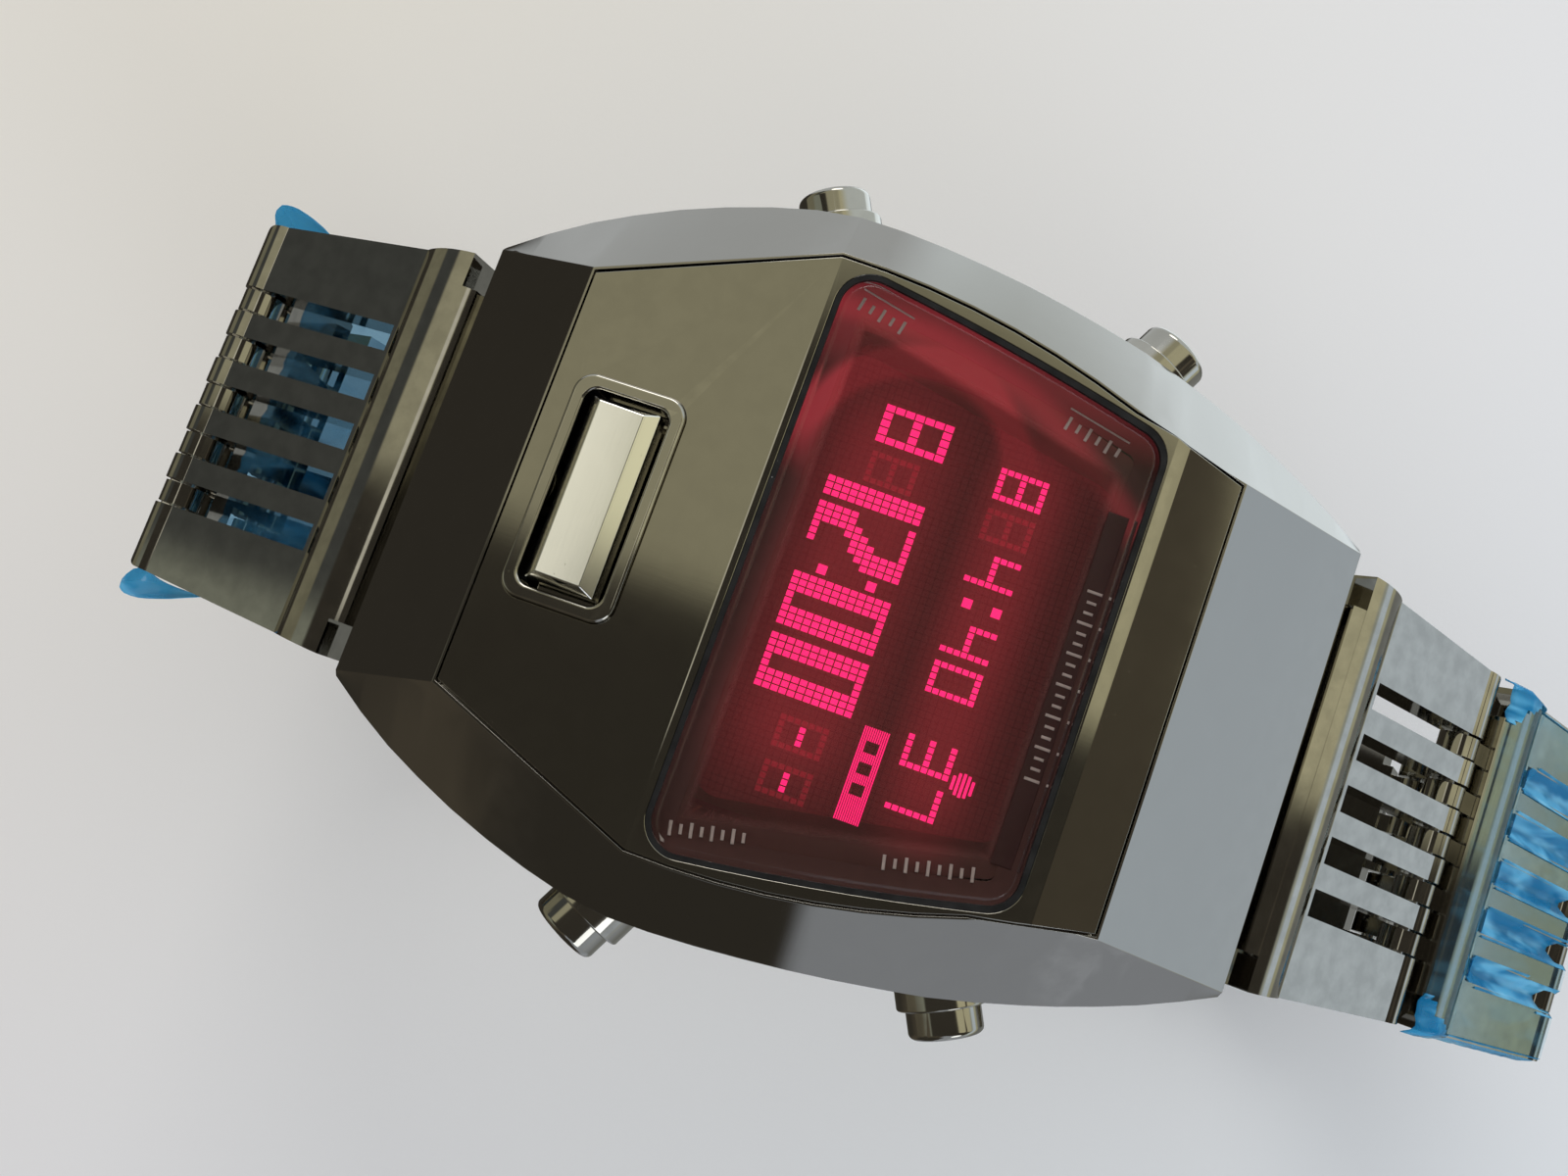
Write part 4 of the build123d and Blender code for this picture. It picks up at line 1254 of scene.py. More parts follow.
@dataclass(frozen=True)
class Display:
    """Lit and unlit cells on the light matrix, in the dial's own millimetres.

    Attributes:
        big_row: the large digits, each with its left edge.
        big_y: their lower edge.
        small_row: the small digits of the second row.
        small_y: their lower edge.
        small_cell: width and height of their cells.
        lone: left and lower edge of the single digit before the first row.
        lone_cell: width and height of its cells.
        dashes: left and lower edges of the dashes after the first row.
        unlit: left and lower edges of the faint digits.
        dots: corners of the square dots between the digits.
        dot: width of a square dot.
        block: left and lower edge, width and height of the striped block.
        block_holes: left edge and width of what is left of the stripes beside its windows.
        stripes: how many stripes the block has.
        open_stripes: first and last stripe that the windows cut.
        stripe: height of a stripe.
        round_mark: middle and radius of the round mark.
        round_bars: how many bars it is made of.
        round_pitch: their pitch.
        round_bar: height of a bar.
    """

    big_row: tuple = (("1", -5.45), ("2", -4.05), ("0", -0.18), ("0", 3.15))
    big_y: float = -3.6
    small_row: tuple = (("8", -8.8), ("4", -4.3), ("4", -0.5), ("0", 1.7), ("3", 5.65), ("7", 7.9))
    small_y: float = 4.65
    small_cell: Pair = (0.35, 0.378)
    lone: Pair = (-9.95, -2.0)
    lone_cell: Pair = (0.42, 0.535)
    dashes: tuple = ((6.9, -1.75), (9.3, -1.75))
    unlit: tuple = ((6.9, -1.75), (9.3, -1.75), (-7.4, -1.9), (-6.6, 4.65))
    dots: tuple = ((-0.9, -2.55), (-0.9, 0.1), (-1.78, 4.98), (-1.78, 6.55))
    dot: float = 0.5
    block: tuple = (6.05, 2.43, 4.9, 1.36)
    block_holes: tuple = ((6.05, 0.7), (7.35, 0.5), (8.45, 0.5), (9.55, 1.4))
    stripes: int = 12
    open_stripes: tuple[int, int] = (3, 8)
    stripe: float = 0.07
    round_mark: Triple = (7.27, 7.92, 0.62)
    round_bars: int = 5
    round_pitch: float = 0.25
    round_bar: float = 0.16

    def add_digits(self, lit: CellSheet) -> None:
        """Adds the lit digits and dots.

        Args:
            lit: the sheet of lit cells.
        """
        for mark, x in self.big_row:
            lit.glyph(BIG_GLYPHS[mark], x, self.big_y, BIG_CELL)
        lit.glyph(SMALL_GLYPHS["8"], *self.lone, self.lone_cell)
        for x, y in self.dashes:
            lit.glyph(SMALL_GLYPHS["-"], x, y, self.small_cell)
        for mark, x in self.small_row:
            lit.glyph(SMALL_GLYPHS[mark], x, self.small_y, self.small_cell)
        for x, y in self.dots:
            lit.cell(x, y, self.dot, self.dot)

    def add_block(self, lit: CellSheet) -> None:
        """Adds the striped block with its three windows.

        Args:
            lit: the sheet of lit cells.
        """
        left, bottom, wide, tall = self.block
        first, last = self.open_stripes
        for i in range(self.stripes):
            runs = self.block_holes if first <= i <= last else ((left, wide),)
            for x, run in runs:
                lit.cell(x, bottom + i * tall / self.stripes, run, self.stripe)

    def add_round_mark(self, lit: CellSheet) -> None:
        """Adds the round mark, as bars.

        Args:
            lit: the sheet of lit cells.
        """
        x, y, radius = self.round_mark
        for i in range(self.round_bars):
            off = (i - (self.round_bars - 1) / 2) * self.round_pitch
            half = math.sqrt(max(0.0, radius**2 - off**2))
            lit.cell(x - half, y + off, 2 * half, self.round_bar)

    def build(self, paints: PaintBox) -> list[Piece]:
        """Builds the lit and the unlit cells.

        Args:
            paints: the materials.

        Returns:
            The two pieces.
        """
        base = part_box("display_panel")[1][2] / MM
        lit = CellSheet("display_lit_cells", base)
        dim = CellSheet("display_dim_cells", base)
        self.add_digits(lit)
        self.add_block(lit)
        self.add_round_mark(lit)
        for x, y in self.unlit:
            dim.glyph(SMALL_GLYPHS["8"], x, y, self.small_cell)
        return [
            lit.finish(paints.get(LIT_CELLS), Slot.PANEL),
            dim.finish(paints.get(DIM_CELLS), Slot.PANEL),
        ]


@dataclass(frozen=True)
class TickGroup:
    """Ticks beside one side button: the middle of the group, their number and their pitch."""

    x: float
    y: float
    count: int
    pitch: float


@dataclass(frozen=True)
class WindowPrint:
    """What is printed in the crystal, in the dial's own millimetres.

    Attributes:
        groups: the ticks beside the side buttons.
        lean: direction of the window's 9 o'clock side, which the other side mirrors.
        ticks: length of the long and the short ticks there.
        tick: their width.
        line_off: how far outside the 9 o'clock ticks their line is.
        line: its width.
        top_start: x of the first tick along the 12 o'clock edge.
        top_y: middle of the ticks there.
        top_count: their number.
        top_pitch: their pitch.
        top_ticks: length of the long and the short ones.
        top_tick: their width.
        tick_rise: height of the ticks above the glass's lower face.
        strip: left and lower edge, width and height of the maroon strip.
        strip_rise: its height above the glass's lower face.
        border: inset and height of the ring's four corners in section.
        middle_y: y of a point inside the window, round which its corners are put in order.
    """

    groups: tuple[TickGroup, ...] = (
        TickGroup(-13.85, -3.8, 5, 0.6),
        TickGroup(-11.5, 8.4, 6, 0.58),
        TickGroup(13.75, -3.2, 8, 0.52),
        TickGroup(11.7, 7.6, 9, 0.55),
    )
    lean: Pair = (0.205, 0.979)
    ticks: Pair = (0.75, 0.5)
    tick: float = 0.17
    line_off: float = 0.75
    line: float = 0.1
    top_start: float = -4.0
    top_y: float = 11.0
    top_count: int = 19
    top_pitch: float = 0.55
    top_ticks: Pair = (0.8, 0.5)
    top_tick: float = 0.15
    tick_rise: float = 0.09
    strip: tuple = (-8.2, 10.35, 18.6, 1.1)
    strip_rise: float = 0.055
    border: tuple = ((0.03, 0.02), (0.03, 0.05), (1.12, 0.05), (1.12, 0.02))
    middle_y: float = 3.0

    def build_ticks(self, base: float, paints: PaintBox) -> Piece:
        """Prints plain ticks beside the side buttons and along the 12 o'clock edge.

        Args:
            base: height of the glass's lower face.
            paints: the materials.

        Returns:
            The piece.
        """
        sheet = CellSheet("window_ticks", base + self.tick_rise)
        for group in self.groups:
            side = math.copysign(1.0, group.x)
            along = (self.lean[0] * -side, self.lean[1])
            across = (-along[1], along[0])
            for i in range(group.count):
                run = (i - (group.count - 1) / 2) * group.pitch
                middle = (group.x + along[0] * run, group.y + along[1] * run)
                sheet.bar(middle, across, self.ticks[i % 2], self.tick)
            if side < 0:
                middle = (group.x + across[0] * self.line_off, group.y + across[1] * self.line_off)
                sheet.bar(middle, along, group.count * group.pitch, self.line)
        for i in range(self.top_count):
            middle = (self.top_start + i * self.top_pitch, self.top_y)
            sheet.bar(middle, (0.0, 1.0), self.top_ticks[min(1, i % 3)], self.top_tick)
        return sheet.finish(paints.get(MARK_INK), Slot.PRINT)

    def build_strip(self, base: float, paints: PaintBox) -> Piece:
        """Prints the maroon strip along the 12 o'clock edge.

        Args:
            base: height of the glass's lower face.
            paints: the materials.

        Returns:
            The piece.
        """
        sheet = CellSheet("window_strip", base + self.strip_rise)
        sheet.cell(*self.strip)
        return sheet.finish(paints.get(STRIP_INK), Slot.PRINT)

    def build_border(self, paints: PaintBox) -> Piece:
        """Prints the ring between the crystal's edge and the window sheet, inside the glass.

        Args:
            paints: the materials.

        Returns:
            The piece.
        """
        glass = frame["nodes"]["crystal"].data
        low = min(v.co.z for v in glass.vertices)
        edge = {place_key(v.co): v.co.copy() for v in glass.vertices if v.co.z < low + SAME_PLACE}
        points = sorted(edge.values(), key=lambda p: math.atan2(p.y - self.middle_y * MM, p.x))
        mesh = bmesh.new()
        loops = []
        for inward, rise in self.border:
            loop = []
            for before, point, after in zip(points[-1:] + points[:-1], points, points[1:] + points[:1]):
                run = after - before
                normal = Vector((-run.y, run.x, 0.0)).normalized()
                loop.append(mesh.verts.new(point + normal * inward * MM + Vector((0.0, 0.0, rise * MM))))
            loops.append(loop)
        for loop, after in zip(loops, loops[1:] + loops[:1]):
            for i in range(-1, len(points) - 1):
                mesh.faces.new((loop[i], loop[i + 1], after[i + 1], after[i]))
        bmesh.ops.recalc_face_normals(mesh, faces=mesh.faces)
        return new_piece("window_border", mesh, [paints.get(BORDER_PRINT)], "case")

    def build(self, paints: PaintBox) -> list[Piece]:
        """Builds the ticks, the strip and the border.

        Args:
            paints: the materials.

        Returns:
            The three pieces.
        """
        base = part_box("crystal")[0][2] / MM
        return [self.build_ticks(base, paints), self.build_strip(base, paints), self.build_border(paints)]


# Films

FILM_THICKNESS = 0.05 * MM
FILM_STEP = 0.3


@dataclass(frozen=True)
class LinkPlace:
    """Where a link is.

    Attributes:
        joint: the joint of its near hinge.
        side: 1 on the 12 o'clock side of the case, -1 on the other.
        fall: how steeply it falls, in degrees.
    """

    joint: str
    side: float
    fall: float

    def matrix(self) -> Matrix:
        """The link's own frame in metres: +Y along the link, +Z towards its outer side.

        Returns:
            The frame as a matrix.
        """
        pin = next(Vector(j["pos_m"]) for j in frame["joints"] if j["name"] == self.joint)
        sink, run = math.sin(math.radians(self.fall)), math.cos(math.radians(self.fall))
        along = Vector((0.0, self.side * run, -sink))
        out = Vector((0.0, self.side * sink, run))
        turned = Matrix((along.cross(out), along, out)).transposed()
        return Matrix.Translation(pin) @ turned.to_4x4()


FOLD_SLICE = 3.1
CREASE_SLICE = 7.7
CREASE_FINENESS = (1.9, 1.3)
FOLD_SHARE = 0.6
CREASE_SHARE = 0.35


def crumple(x: float, y: float, size: float) -> float:
    """Height of a film's folds at a place.

    Args:
        x: the place across the film.
        y: the place along the film.
        size: size of a fold.

    Returns:
        The height, from 0 to 1.
    """
    fine_x, fine_y = CREASE_FINENESS
    fold = noise.noise(Vector((x / size, y / size, FOLD_SLICE)))
    sharp = 1.0 - abs(noise.noise(Vector((x / size * fine_x, y / size * fine_y, CREASE_SLICE)))) * 2.0
    return max(0.0, min(1.0, 0.5 + FOLD_SHARE * fold + CREASE_SHARE * (sharp - 0.5)))


def add_sheet(mesh: bmesh.types.BMesh, rows: list, loose: list | None = None) -> None:
    """Adds a sheet from rows of points.

    Args:
        mesh: the mesh to add to.
        rows: the points, row by row.
        loose: 1 for each point where the film is loose, which gives its faces the second material; None
            where all of it is.
    """
    grid = [[mesh.verts.new(point) for point in row] for row in rows]
    for i in range(len(rows) - 1):
        for j in range(len(rows[i]) - 1):
            face = mesh.faces.new((grid[i][j], grid[i][j + 1], grid[i + 1][j + 1], grid[i + 1][j]))
            face.smooth = True
            if loose is None or loose[i][j] + loose[i + 1][j + 1] + loose[i][j + 1] + loose[i + 1][j] >= 2:
                face.material_index = 1


def thicken(film: Piece) -> None:
    """Gives a film its thickness, outwards.

    Args:
        film: the film's piece.
    """
    solid = film.modifiers.new("Thickness", "SOLIDIFY")
    solid.thickness = FILM_THICKNESS
    solid.offset = 1.0


@dataclass(frozen=True)
class LinkFilm:
    """Film over the second 12 o'clock link: it clings to the band and bridges the slots.

    Every size is in the link's own millimetres.

    Attributes:
        link: the link.
        near: half width at the near end.
        far: half width at the far end.
        taper_from: where the taper starts.
        start: where the film starts.
        end: where it ends.
        least_level: the lowest that it sags into a slot.
        slope: how far it sinks at each step away from what holds it up.
        reach: how many steps away it is held up.
        bridge: gap above the metal that counts as a bridge.
        free_edge: width of the edge that hangs past the metal.
        corner_x: where a near corner starts to lift.
        corner_wide: width over which it lifts.
        corner_long: length over which it lifts.
        cling: gap between the metal and the film that clings to it.
        ripple: height of the ripples where it clings.
        bridge_ripple: height of the ripples where it bridges a slot.
        curl: how far the near corners lift.
        hang: how steeply the free edge hangs, and how much its ripples add.
    """

    link: LinkPlace = LinkPlace("link_12_2_hinge", 1.0, 36.0)
    near: float = 11.3
    far: float = 10.45
    taper_from: float = 1.6
    start: float = 1.7
    end: float = 17.2
    least_level: float = 0.2
    slope: float = 0.24
    reach: int = 3
    bridge: float = 0.3
    free_edge: float = 0.35
    corner_x: float = 8.8
    corner_wide: float = 2.4
    corner_long: float = 4.5
    cling: float = 0.07
    ripple: float = 0.06
    bridge_ripple: float = 0.10
    curl: float = 0.9
    hang: Pair = (1.6, 1.5)

    SKY = 8.0
    NOTHING = -9.0
    LOOSE_CORNER = 0.3
    LOOSE_EDGE = 0.05
    RIPPLE_SIZE = 1.6
    CURL_SIZE = 1.1
    BRIDGE_SIZE = 1.3
    BRIDGE_STRETCH = 0.4
    HANG_SIZE = 0.9
    HANG_AT = 3.0

    def taper(self, y: float) -> float:
        """How much the half width has grown at a place along the link."""
        return (self.far - self.near) * (y - self.taper_from) / (self.end - self.taper_from)

    def across(self, y: float) -> list[float]:
        """Places of the points of one row."""
        half, count = self.near + self.taper(y), int(2 * self.near / FILM_STEP) + 3
        return [half * (2 * j / (count - 1) - 1) for j in range(count)]

    def metal_heights(self, place: Matrix, ys: list[float]) -> list[list[float]]:
        """Height of the link's metal under each point.

        Args:
            place: the link's frame.
            ys: places of the rows.

        Returns:
            The heights, row by row.
        """
        link = frame["nodes"]["link_12_2"].data
        tree = BVHTree.FromPolygons([v.co for v in link.vertices], [f.vertices for f in link.polygons])
        down = place.to_3x3() @ Vector((0.0, 0.0, -1.0))
        heights = []
        for y in ys:
            hits = [tree.ray_cast(place @ (Vector((x, y, self.SKY)) * MM), down)[0] for x in self.across(y)]
            heights.append([(place.inverted() @ hit).z / MM if hit else self.NOTHING for hit in hits])
        return heights

    def held_level(self, heights: list[list[float]], i: int, j: int) -> float:
        """Height at which the metal round a point holds the film.

        Args:
            heights: the metal's heights.
            i: the point's row.
            j: its number in the row.

        Returns:
            The height.
        """
        patch = [
            heights[a][b] - self.slope * math.hypot(a - i, b - j)
            for a in range(max(0, i - self.reach), min(len(heights), i + self.reach + 1))
            for b in range(max(0, j - self.reach), min(len(heights[i]), j + self.reach + 1))
        ]
        return max(self.least_level, max(patch))

    def folded(self, x: float, y: float, level: float, metal: float) -> tuple[float, int]:
        """Puts the folds on one point.

        Args:
            x: its place across the link.
            y: its place along the link.
            level: the height at which the film is held there.
            metal: the metal's height there.

        Returns:
            Its height, and 1 where the film is loose.
        """
        gap = level - metal
        off_edge = max(0.0, abs(x) - (self.near - self.free_edge + self.taper(y)))
        corner = max(0.0, abs(x) - self.corner_x) / self.corner_wide
        corner *= max(0.0, 1.0 - (y - self.start) / self.corner_long)
        lift = self.cling + self.ripple * crumple(x, y, self.RIPPLE_SIZE)
        lift += self.curl * corner * crumple(x, y, self.CURL_SIZE)
        if gap > self.bridge:
            fold = crumple(x * self.BRIDGE_STRETCH, y, self.BRIDGE_SIZE)
            lift += self.bridge_ripple * fold - self.bridge_ripple
        sink = off_edge * (self.hang[0] + self.hang[1] * crumple(self.HANG_AT, y, self.HANG_SIZE))
        loose = gap > self.bridge or corner > self.LOOSE_CORNER or off_edge > self.LOOSE_EDGE
        return level + lift - sink, int(loose)

    def build(self, paints: PaintBox) -> list[Piece]:
        """Lays the film.

        Args:
            paints: the materials.

        Returns:
            The piece.
        """
        place = self.link.matrix()
        ys = [self.start + i * FILM_STEP for i in range(int((self.end - self.start) / FILM_STEP) + 1)]
        heights = self.metal_heights(place, ys)
        rows, loose = [], []
        for i, y in enumerate(ys):
            xs = self.across(y)
            levels = [self.held_level(heights, i, j) for j in range(len(xs))]
            folds = [self.folded(x, y, level, metal) for x, level, metal in zip(xs, levels, heights[i])]
            rows.append([place @ (Vector((x, y, height)) * MM) for x, (height, _) in zip(xs, folds)])
            loose.append([mark for _, mark in folds])
        mesh = bmesh.new()
        add_sheet(mesh, rows, loose)
        materials = [paints.get(FILM_STUCK), paints.get(FILM_LOOSE)]
        film = new_piece("film_over_link", mesh, materials, "link_12_2")
        thicken(film)
        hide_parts("film_12_2")
        return [film]


@dataclass(frozen=True)
class SlotFilm:
    """Film behind the first 6 o'clock link's slots, with a curled ear past each far corner.

    Every size is in the link's own millimetres.

    Attributes:
        link: the link.
        half: half width.
        start: where the film starts.
        end: where it ends.
        under: height of its upper side.
        sag: how far its folds hang.
        ear_x: x of the three points that steer an ear's root.
        ear_y: y of the same.
        ear_rows: points along an ear.
        ear_columns: points across an ear.
        ear_span: where an ear starts beside its root, and how wide it is from there.
        ear_lean: how much of that goes across the link and along it.
        ear_curl: how far its outer edge curls up.
        ear_droop: how far it droops on the way.
        ear_ripple: height of its folds.
    """

    link: LinkPlace = LinkPlace("link_6_1_hinge", -1.0, 19.0)
    half: float = 10.9
    start: float = 6.7
    end: float = 14.9
    under: float = -1.42
    sag: float = 0.7
    ear_x: Triple = (10.6, 12.4, 11.2)
    ear_y: Triple = (18.1, 18.6, 12.8)
    ear_rows: int = 15
    ear_columns: int = 9
    ear_span: Pair = (-0.5, 1.9)
    ear_lean: Pair = (0.8, 0.25)
    ear_curl: float = 1.7
    ear_droop: float = 0.25
    ear_ripple: float = 0.3

    BODY_FOLD = 1.5
    EAR_FOLD = 0.8
    EAR_FOLDS = (5, 2)
    BULGE_START = 0.12
    BULGE_POWER = 0.6

    def add_body(self, mesh: bmesh.types.BMesh, place: Matrix) -> None:
        """Adds the sheet behind the slots.

        Args:
            mesh: the mesh to add to.
            place: the link's frame.
        """
        steps = int(2 * self.half / FILM_STEP)
        xs = [self.half * (2 * j / steps - 1) for j in range(steps + 1)]
        rows = []
        for i in range(int((self.end - self.start) / FILM_STEP) + 1):
            y = self.start + i * FILM_STEP
            row = [Vector((x, y, self.under - self.sag * crumple(x, y, self.BODY_FOLD))) for x in xs]
            rows.append([place @ (point * MM) for point in row])
        add_sheet(mesh, rows, [[0] * len(row) for row in rows])

    def ear_point(self, side: int, t: float, v: float) -> Vector:
        """One point of an ear.

        Args:
            side: 1 or -1, the side of the link it is on.
            t: how far along the ear, from 0 to 1.
            v: how far across it.

        Returns:
            The point.
        """
        x, y = (
            (1 - t) ** 2 * first + 2 * t * (1 - t) * second + t * t * third
            for first, second, third in (self.ear_x, self.ear_y)
        )
        bulge = math.sin(math.pi * min(1.0, t + self.BULGE_START)) ** self.BULGE_POWER
        reach = (self.ear_span[0] + self.ear_span[1] * v) * bulge
        along, over = self.EAR_FOLDS
        ripple = self.ear_ripple * crumple(t * along, v * over + side, self.EAR_FOLD) * v
        rise = self.under + self.ear_curl * v * v * bulge - self.ear_droop * v + ripple
        return Vector((side * (x + reach * self.ear_lean[0]), y + reach * self.ear_lean[1] * (1 - t), rise))

    def build(self, paints: PaintBox) -> list[Piece]:
        """Lays the film.

        Args:
            paints: the materials.

        Returns:
            The piece.
        """
        place = self.link.matrix()
        mesh = bmesh.new()
        self.add_body(mesh, place)
        along = [i / (self.ear_rows - 1) for i in range(self.ear_rows)]
        over = [j / (self.ear_columns - 1) for j in range(self.ear_columns)]
        for side in (-1, 1):
            rows = [[place @ (self.ear_point(side, t, v) * MM) for v in over] for t in along]
            add_sheet(mesh, [row[::side] for row in rows])
        # The sheet behind the slots takes the darker film, which is painted shade; the ears take the loose film.
        materials = [paints.get(FILM_PAINTED_SHADE), paints.get(FILM_LOOSE)]
        film = new_piece("film_behind_link", mesh, materials, "link_6_1")
        thicken(film)
        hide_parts("film_6_1")
        return [film]


# Studio


@dataclass(frozen=True)
class PhotoCamera:
    """The camera, where the photograph was taken from.

    Attributes:
        picture_px: width of the photograph in pixels.
        focal_px: focal length in pixels.
        sensor_mm: width of the sensor.
        from_dial_mm: place above the middle of the dial.
        turn_deg: its Euler angles.
    """

    picture_px: int = 1600
    focal_px: float = 1644.3
    sensor_mm: float = 36.0
    from_dial_mm: Triple = (11.16, -1.25, 78.79)
    turn_deg: Triple = (7.371, -0.770, 109.830)

    CLIP = (0.005, 20.0)

    def build(self) -> None:
        """Places the camera."""
        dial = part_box("crystal")[1][2]
        data = bpy.data.cameras.new("PhotoCamera")
        data.sensor_width = self.sensor_mm
        data.lens = self.sensor_mm * self.focal_px / self.picture_px
        data.clip_start, data.clip_end = self.CLIP
        camera = bpy.data.objects.new("PhotoCamera", data)
        bpy.context.scene.collection.objects.link(camera)
        x, y, z = (c * MM for c in self.from_dial_mm)
        camera.location = (x, y, z + dial)
        camera.rotation_euler = tuple(math.radians(a) for a in self.turn_deg)
        bpy.context.scene.camera = camera


@dataclass(frozen=True)
class Floor:
    """The pale floor, a round sheet with a soft edge.

    Attributes:
        radius: its radius in metres.
        fade_from: where its edge begins to fade.
        segments: how many sides the circle has.
    """

    radius: float = 0.15
    fade_from: float = 0.105
    segments: int = 96

    def build(self, paints: PaintBox) -> None:
        """Lays the floor.

        Args:
            paints: the materials.
        """
        mesh = bmesh.new()
        bmesh.ops.create_circle(mesh, cap_ends=True, segments=self.segments, radius=self.radius)
        data = bpy.data.meshes.new("floor")
        mesh.to_mesh(data)
        mesh.free()
        floor = bpy.data.objects.new("floor", data)
        bpy.context.scene.collection.objects.link(floor)
        data.materials.append(paints.get(FloorFinish("PaleFloor", self.radius, self.fade_from)))


class Room:
    """The surroundings: pale to the camera, a painted room of light and dark places to the metal.

    Places are given by the direction they are seen in, a unit vector.
    """

    BACKDROP = (0.70, 0.71, 0.73)
    LIGHT = (0.78, 0.78, 0.79)
    DARK = (0.055, 0.050, 0.040)
    WARM_WINDOW_12 = (0.70, 0.67, 0.46)
    WARM_WINDOW_6 = (0.50, 0.48, 0.34)
    BROWN_BEAM = (0.11, 0.095, 0.070)
    COOL_WALL = (0.76, 0.88, 1.0)
    GREY_WALL = (0.50, 0.53, 0.46)
    OLIVE_EDGE_12 = (0.58, 0.58, 0.41)
    DIM_FLOOR_12 = (0.25, 0.26, 0.25)
    OLIVE_WALL = (0.27, 0.26, 0.18)
    DIM_WALL = (0.085, 0.09, 0.085)
    DIM_WALL_END = (0.32, 0.34, 0.28)
    PALE_SIDE_12 = (0.80, 0.87, 0.88)
    PALE_SIDE_6 = (0.70, 0.74, 0.76)
    BRIGHT_FLOOR = (1.35, 1.5, 1.6)
    BLUE_SIDE = (0.46, 0.50, 0.56)
    CREAM_PANEL = (0.86, 0.84, 0.72)

    def __init__(self, tree: bpy.types.NodeTree) -> None:
        """Takes the world's tree, and finds the direction that is looked in."""
        self.graph = Graph(tree)
        self.x, self.y, self.z = self.graph.axes(self.graph.add("ShaderNodeTexCoord").outputs["Generated"])

    def paint(self, under: Paint, colour: Paint, axis: Socket, start: float, end: float) -> Socket:
        """Paints one colour over another, from start on and fully past end.

        Args:
            under: what was there.
            colour: what goes over it.
            axis: the coordinate that start and end are on.
            start: where the paint begins.
            end: where it is full.

        Returns:
            The mixed colour.
        """
        return self.graph.mix(self.graph.ease(axis, start, end), under, colour)

    def beyond_12(self, window: Socket) -> Socket:
        """The room beyond 12 o'clock: a warm window overhead, a cool wall low down.

        Args:
            window: 1 where the window is.

        Returns:
            The colour.
        """
        graph, x, z = self.graph, self.x, self.z
        beam = graph.times(graph.ease(z, 0.54, 0.565), graph.ease(z, 0.635, 0.61))
        high = graph.mix(beam, graph.mix(window, self.DARK, self.WARM_WINDOW_12), self.BROWN_BEAM)
        wall = self.paint(self.COOL_WALL, self.GREY_WALL, z, 0.08, 0.18)
        wall = self.paint(wall, self.OLIVE_EDGE_12, z, -0.08, -0.135)
        wall = self.paint(wall, self.DIM_FLOOR_12, z, -0.20, -0.32)
        middle = self.paint(wall, high, z, 0.18, 0.27)
        far_floor = self.paint(self.PALE_SIDE_12, self.BRIGHT_FLOOR, z, -0.30, -0.45)
        left = self.paint(middle, far_floor, x, -0.42, -0.60)
        return self.paint(left, self.BLUE_SIDE, x, 0.42, 0.60)

    def beyond_6(self, window: Socket) -> Socket:
        """The room beyond 6 o'clock: the same window overhead, dim walls below it.

        Args:
            window: 1 where the window is.

        Returns:
            The colour.
        """
        x, z = self.x, self.z
        high = self.graph.mix(window, self.DARK, self.WARM_WINDOW_6)
        dim = self.paint(self.DIM_WALL, self.DIM_WALL_END, x, -0.03, 0.0)
        upper = self.paint(dim, high, z, 0.60, 0.68)
        wall = self.paint(self.OLIVE_WALL, upper, z, 0.24, 0.32)
        low = self.paint(wall, self.DARK, z, -0.18, -0.24)
        left = self.paint(low, self.PALE_SIDE_6, x, -0.50, -0.62)
        return self.paint(left, self.BROWN_BEAM, x, 0.45, 0.62)

    def colour(self) -> Socket:
        """What the metal mirrors: both halves of the room, a dark side and a cream panel overhead.

        Returns:
            The colour.
        """
        graph, x, y, z = self.graph, self.x, self.y, self.z
        window = graph.ease(x, -0.088, -0.122)
        halves = self.paint(self.beyond_6(window), self.beyond_12(window), y, -0.06, 0.06)
        dark_side = graph.times(graph.ease(x, 0.74, 0.84), graph.ease(y, 0.235, 0.175))
        shaded = graph.mix(dark_side, halves, self.DARK)
        panel = graph.times(graph.ease(y, -0.135, -0.155), graph.ease(y, -0.25, -0.23))
        panel = graph.times(panel, graph.ease(graph.size(graph.plus(x, 0.14)), 0.14, 0.11))
        panel = graph.times(panel, graph.ease(z, 0.90, 0.94))
        overhead = graph.times(graph.ease(z, 0.935, 0.965), graph.ease(y, -0.14, -0.11))
        return graph.mix(panel, graph.mix(overhead, shaded, self.DARK), self.CREAM_PANEL)

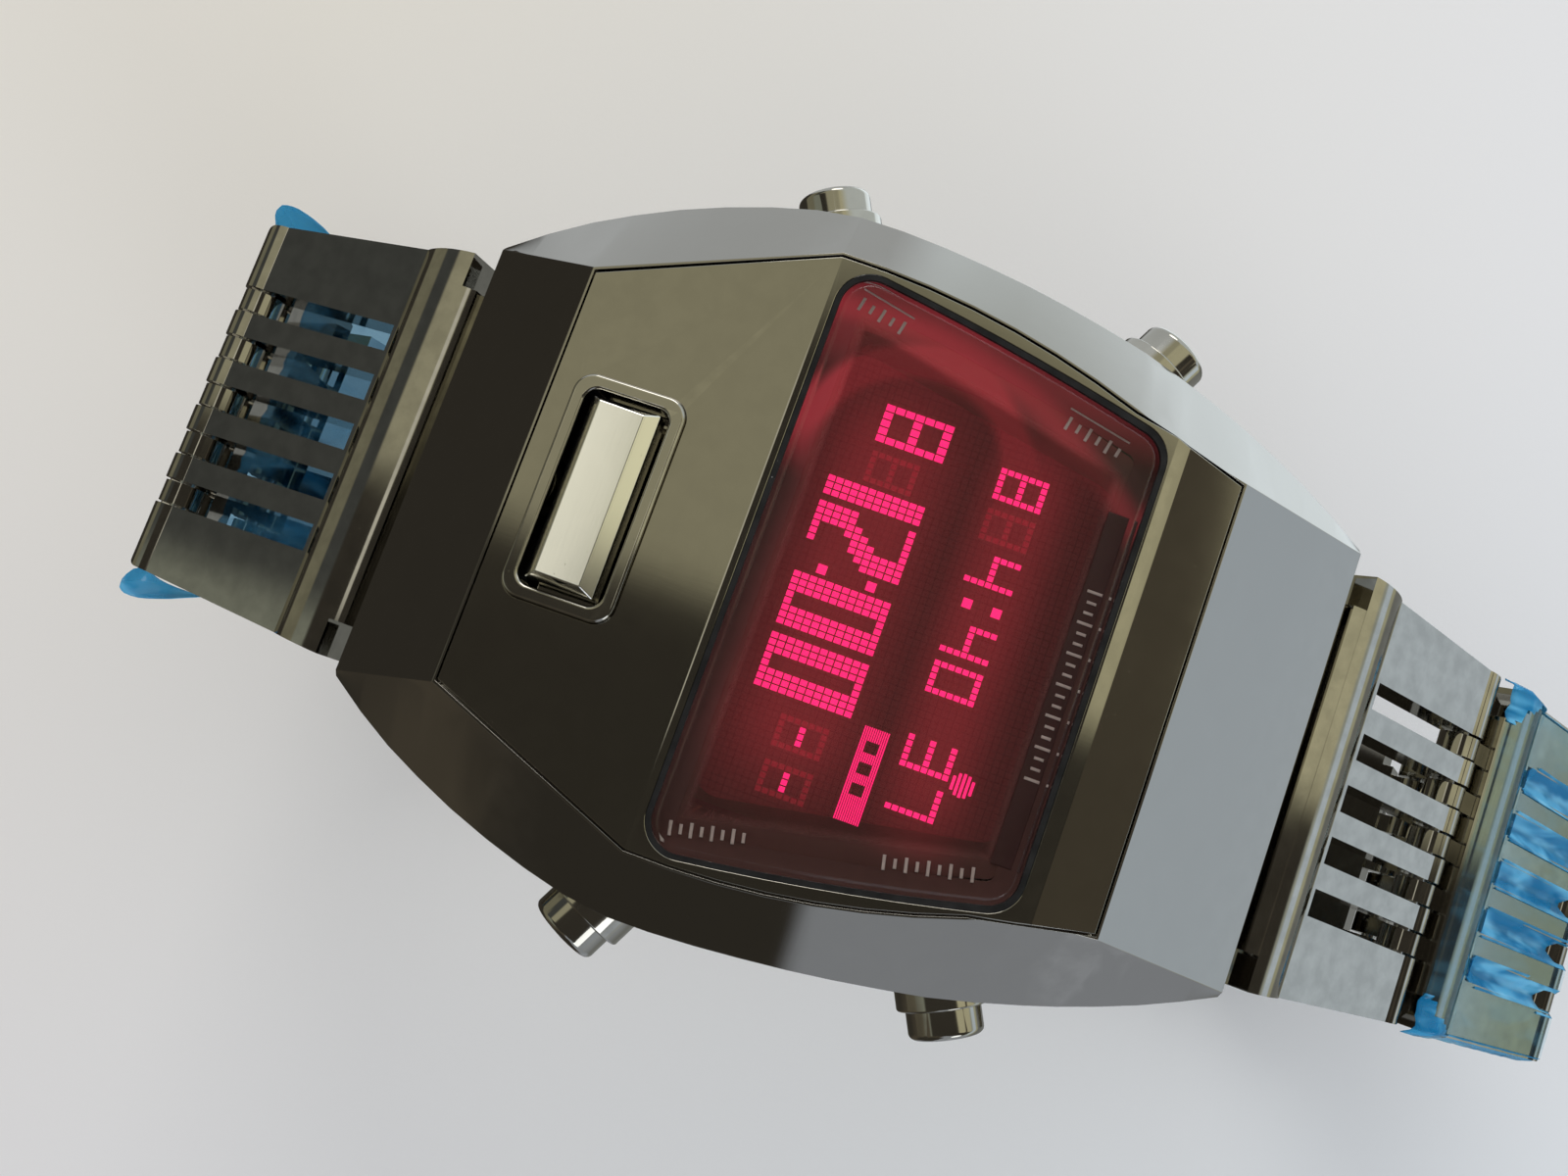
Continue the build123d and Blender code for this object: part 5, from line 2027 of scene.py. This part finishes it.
    def build(self) -> None:
        """Joins what lights the object, what metal and glass mirror and what the camera sees."""
        light, room, pale = (
            self.graph.add("ShaderNodeBackground", {"Color": colour, "Strength": 1.0}).outputs["Background"]
            for colour in (self.LIGHT, self.colour(), self.BACKDROP)
        )
        path = self.graph.add("ShaderNodeLightPath").outputs
        mirrored = self.graph.most(path["Is Glossy Ray"], path["Is Transmission Ray"])
        seen = self.graph.blend(path["Is Camera Ray"], self.graph.blend(mirrored, light, room), pale)
        self.graph.add("ShaderNodeOutputWorld", {"Surface": seen})


@dataclass(frozen=True)
class Softbox:
    """One soft light.

    Attributes:
        name: its name.
        place: where it stands, in metres.
        aim: what it points at.
        size: its diameter.
        power: its power in watts.
        colour: its colour.
    """

    name: str
    place: Triple
    aim: Triple
    size: float
    power: float
    colour: Triple

    def build(self) -> None:
        """Adds the light."""
        data = bpy.data.lights.new(self.name, "AREA")
        data.shape = "DISK"
        data.size = self.size
        data.energy = self.power
        data.color = self.colour
        lamp = bpy.data.objects.new(self.name, data)
        bpy.context.scene.collection.objects.link(lamp)
        lamp.location = self.place
        away = Vector(self.place) - Vector(self.aim)
        lamp.rotation_euler = away.to_track_quat("Z", "Y").to_euler()


SOFTBOXES = (
    Softbox("key", (-1.15, -0.35, 0.8), (0.0, 0.0, 0.03), 0.7, 4.0, (1.0, 0.97, 0.92)),
    Softbox("fill", (0.9, 0.95, 0.65), (0.0, 0.0, 0.03), 0.6, 2.0, (0.92, 0.96, 1.0)),
)


def make_studio(paints: PaintBox) -> None:
    """Lays the floor, paints the surroundings and adds the lights.

    Args:
        paints: the materials.
    """
    Floor().build(paints)
    world = bpy.data.worlds.new("Studio")
    world.use_nodes = True
    bpy.context.scene.world = world
    Room(world.node_tree).build()
    for box in SOFTBOXES:
        box.build()


def main() -> None:
    """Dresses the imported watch, adds its new pieces in order and sets the studio."""
    logging.basicConfig(level=logging.INFO)
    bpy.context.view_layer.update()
    bpy.context.scene.view_settings.view_transform = "Standard"
    PhotoCamera().build()
    paints = PaintBox()
    for part in (PackedParts(), Display(), WindowPrint(), LinkFilm(), SlotFilm()):
        for piece in part.build(paints):
            LOG.info("%s: %s", type(part).__name__, piece.name)
    make_studio(paints)


if __name__ == "__main__":
    main()
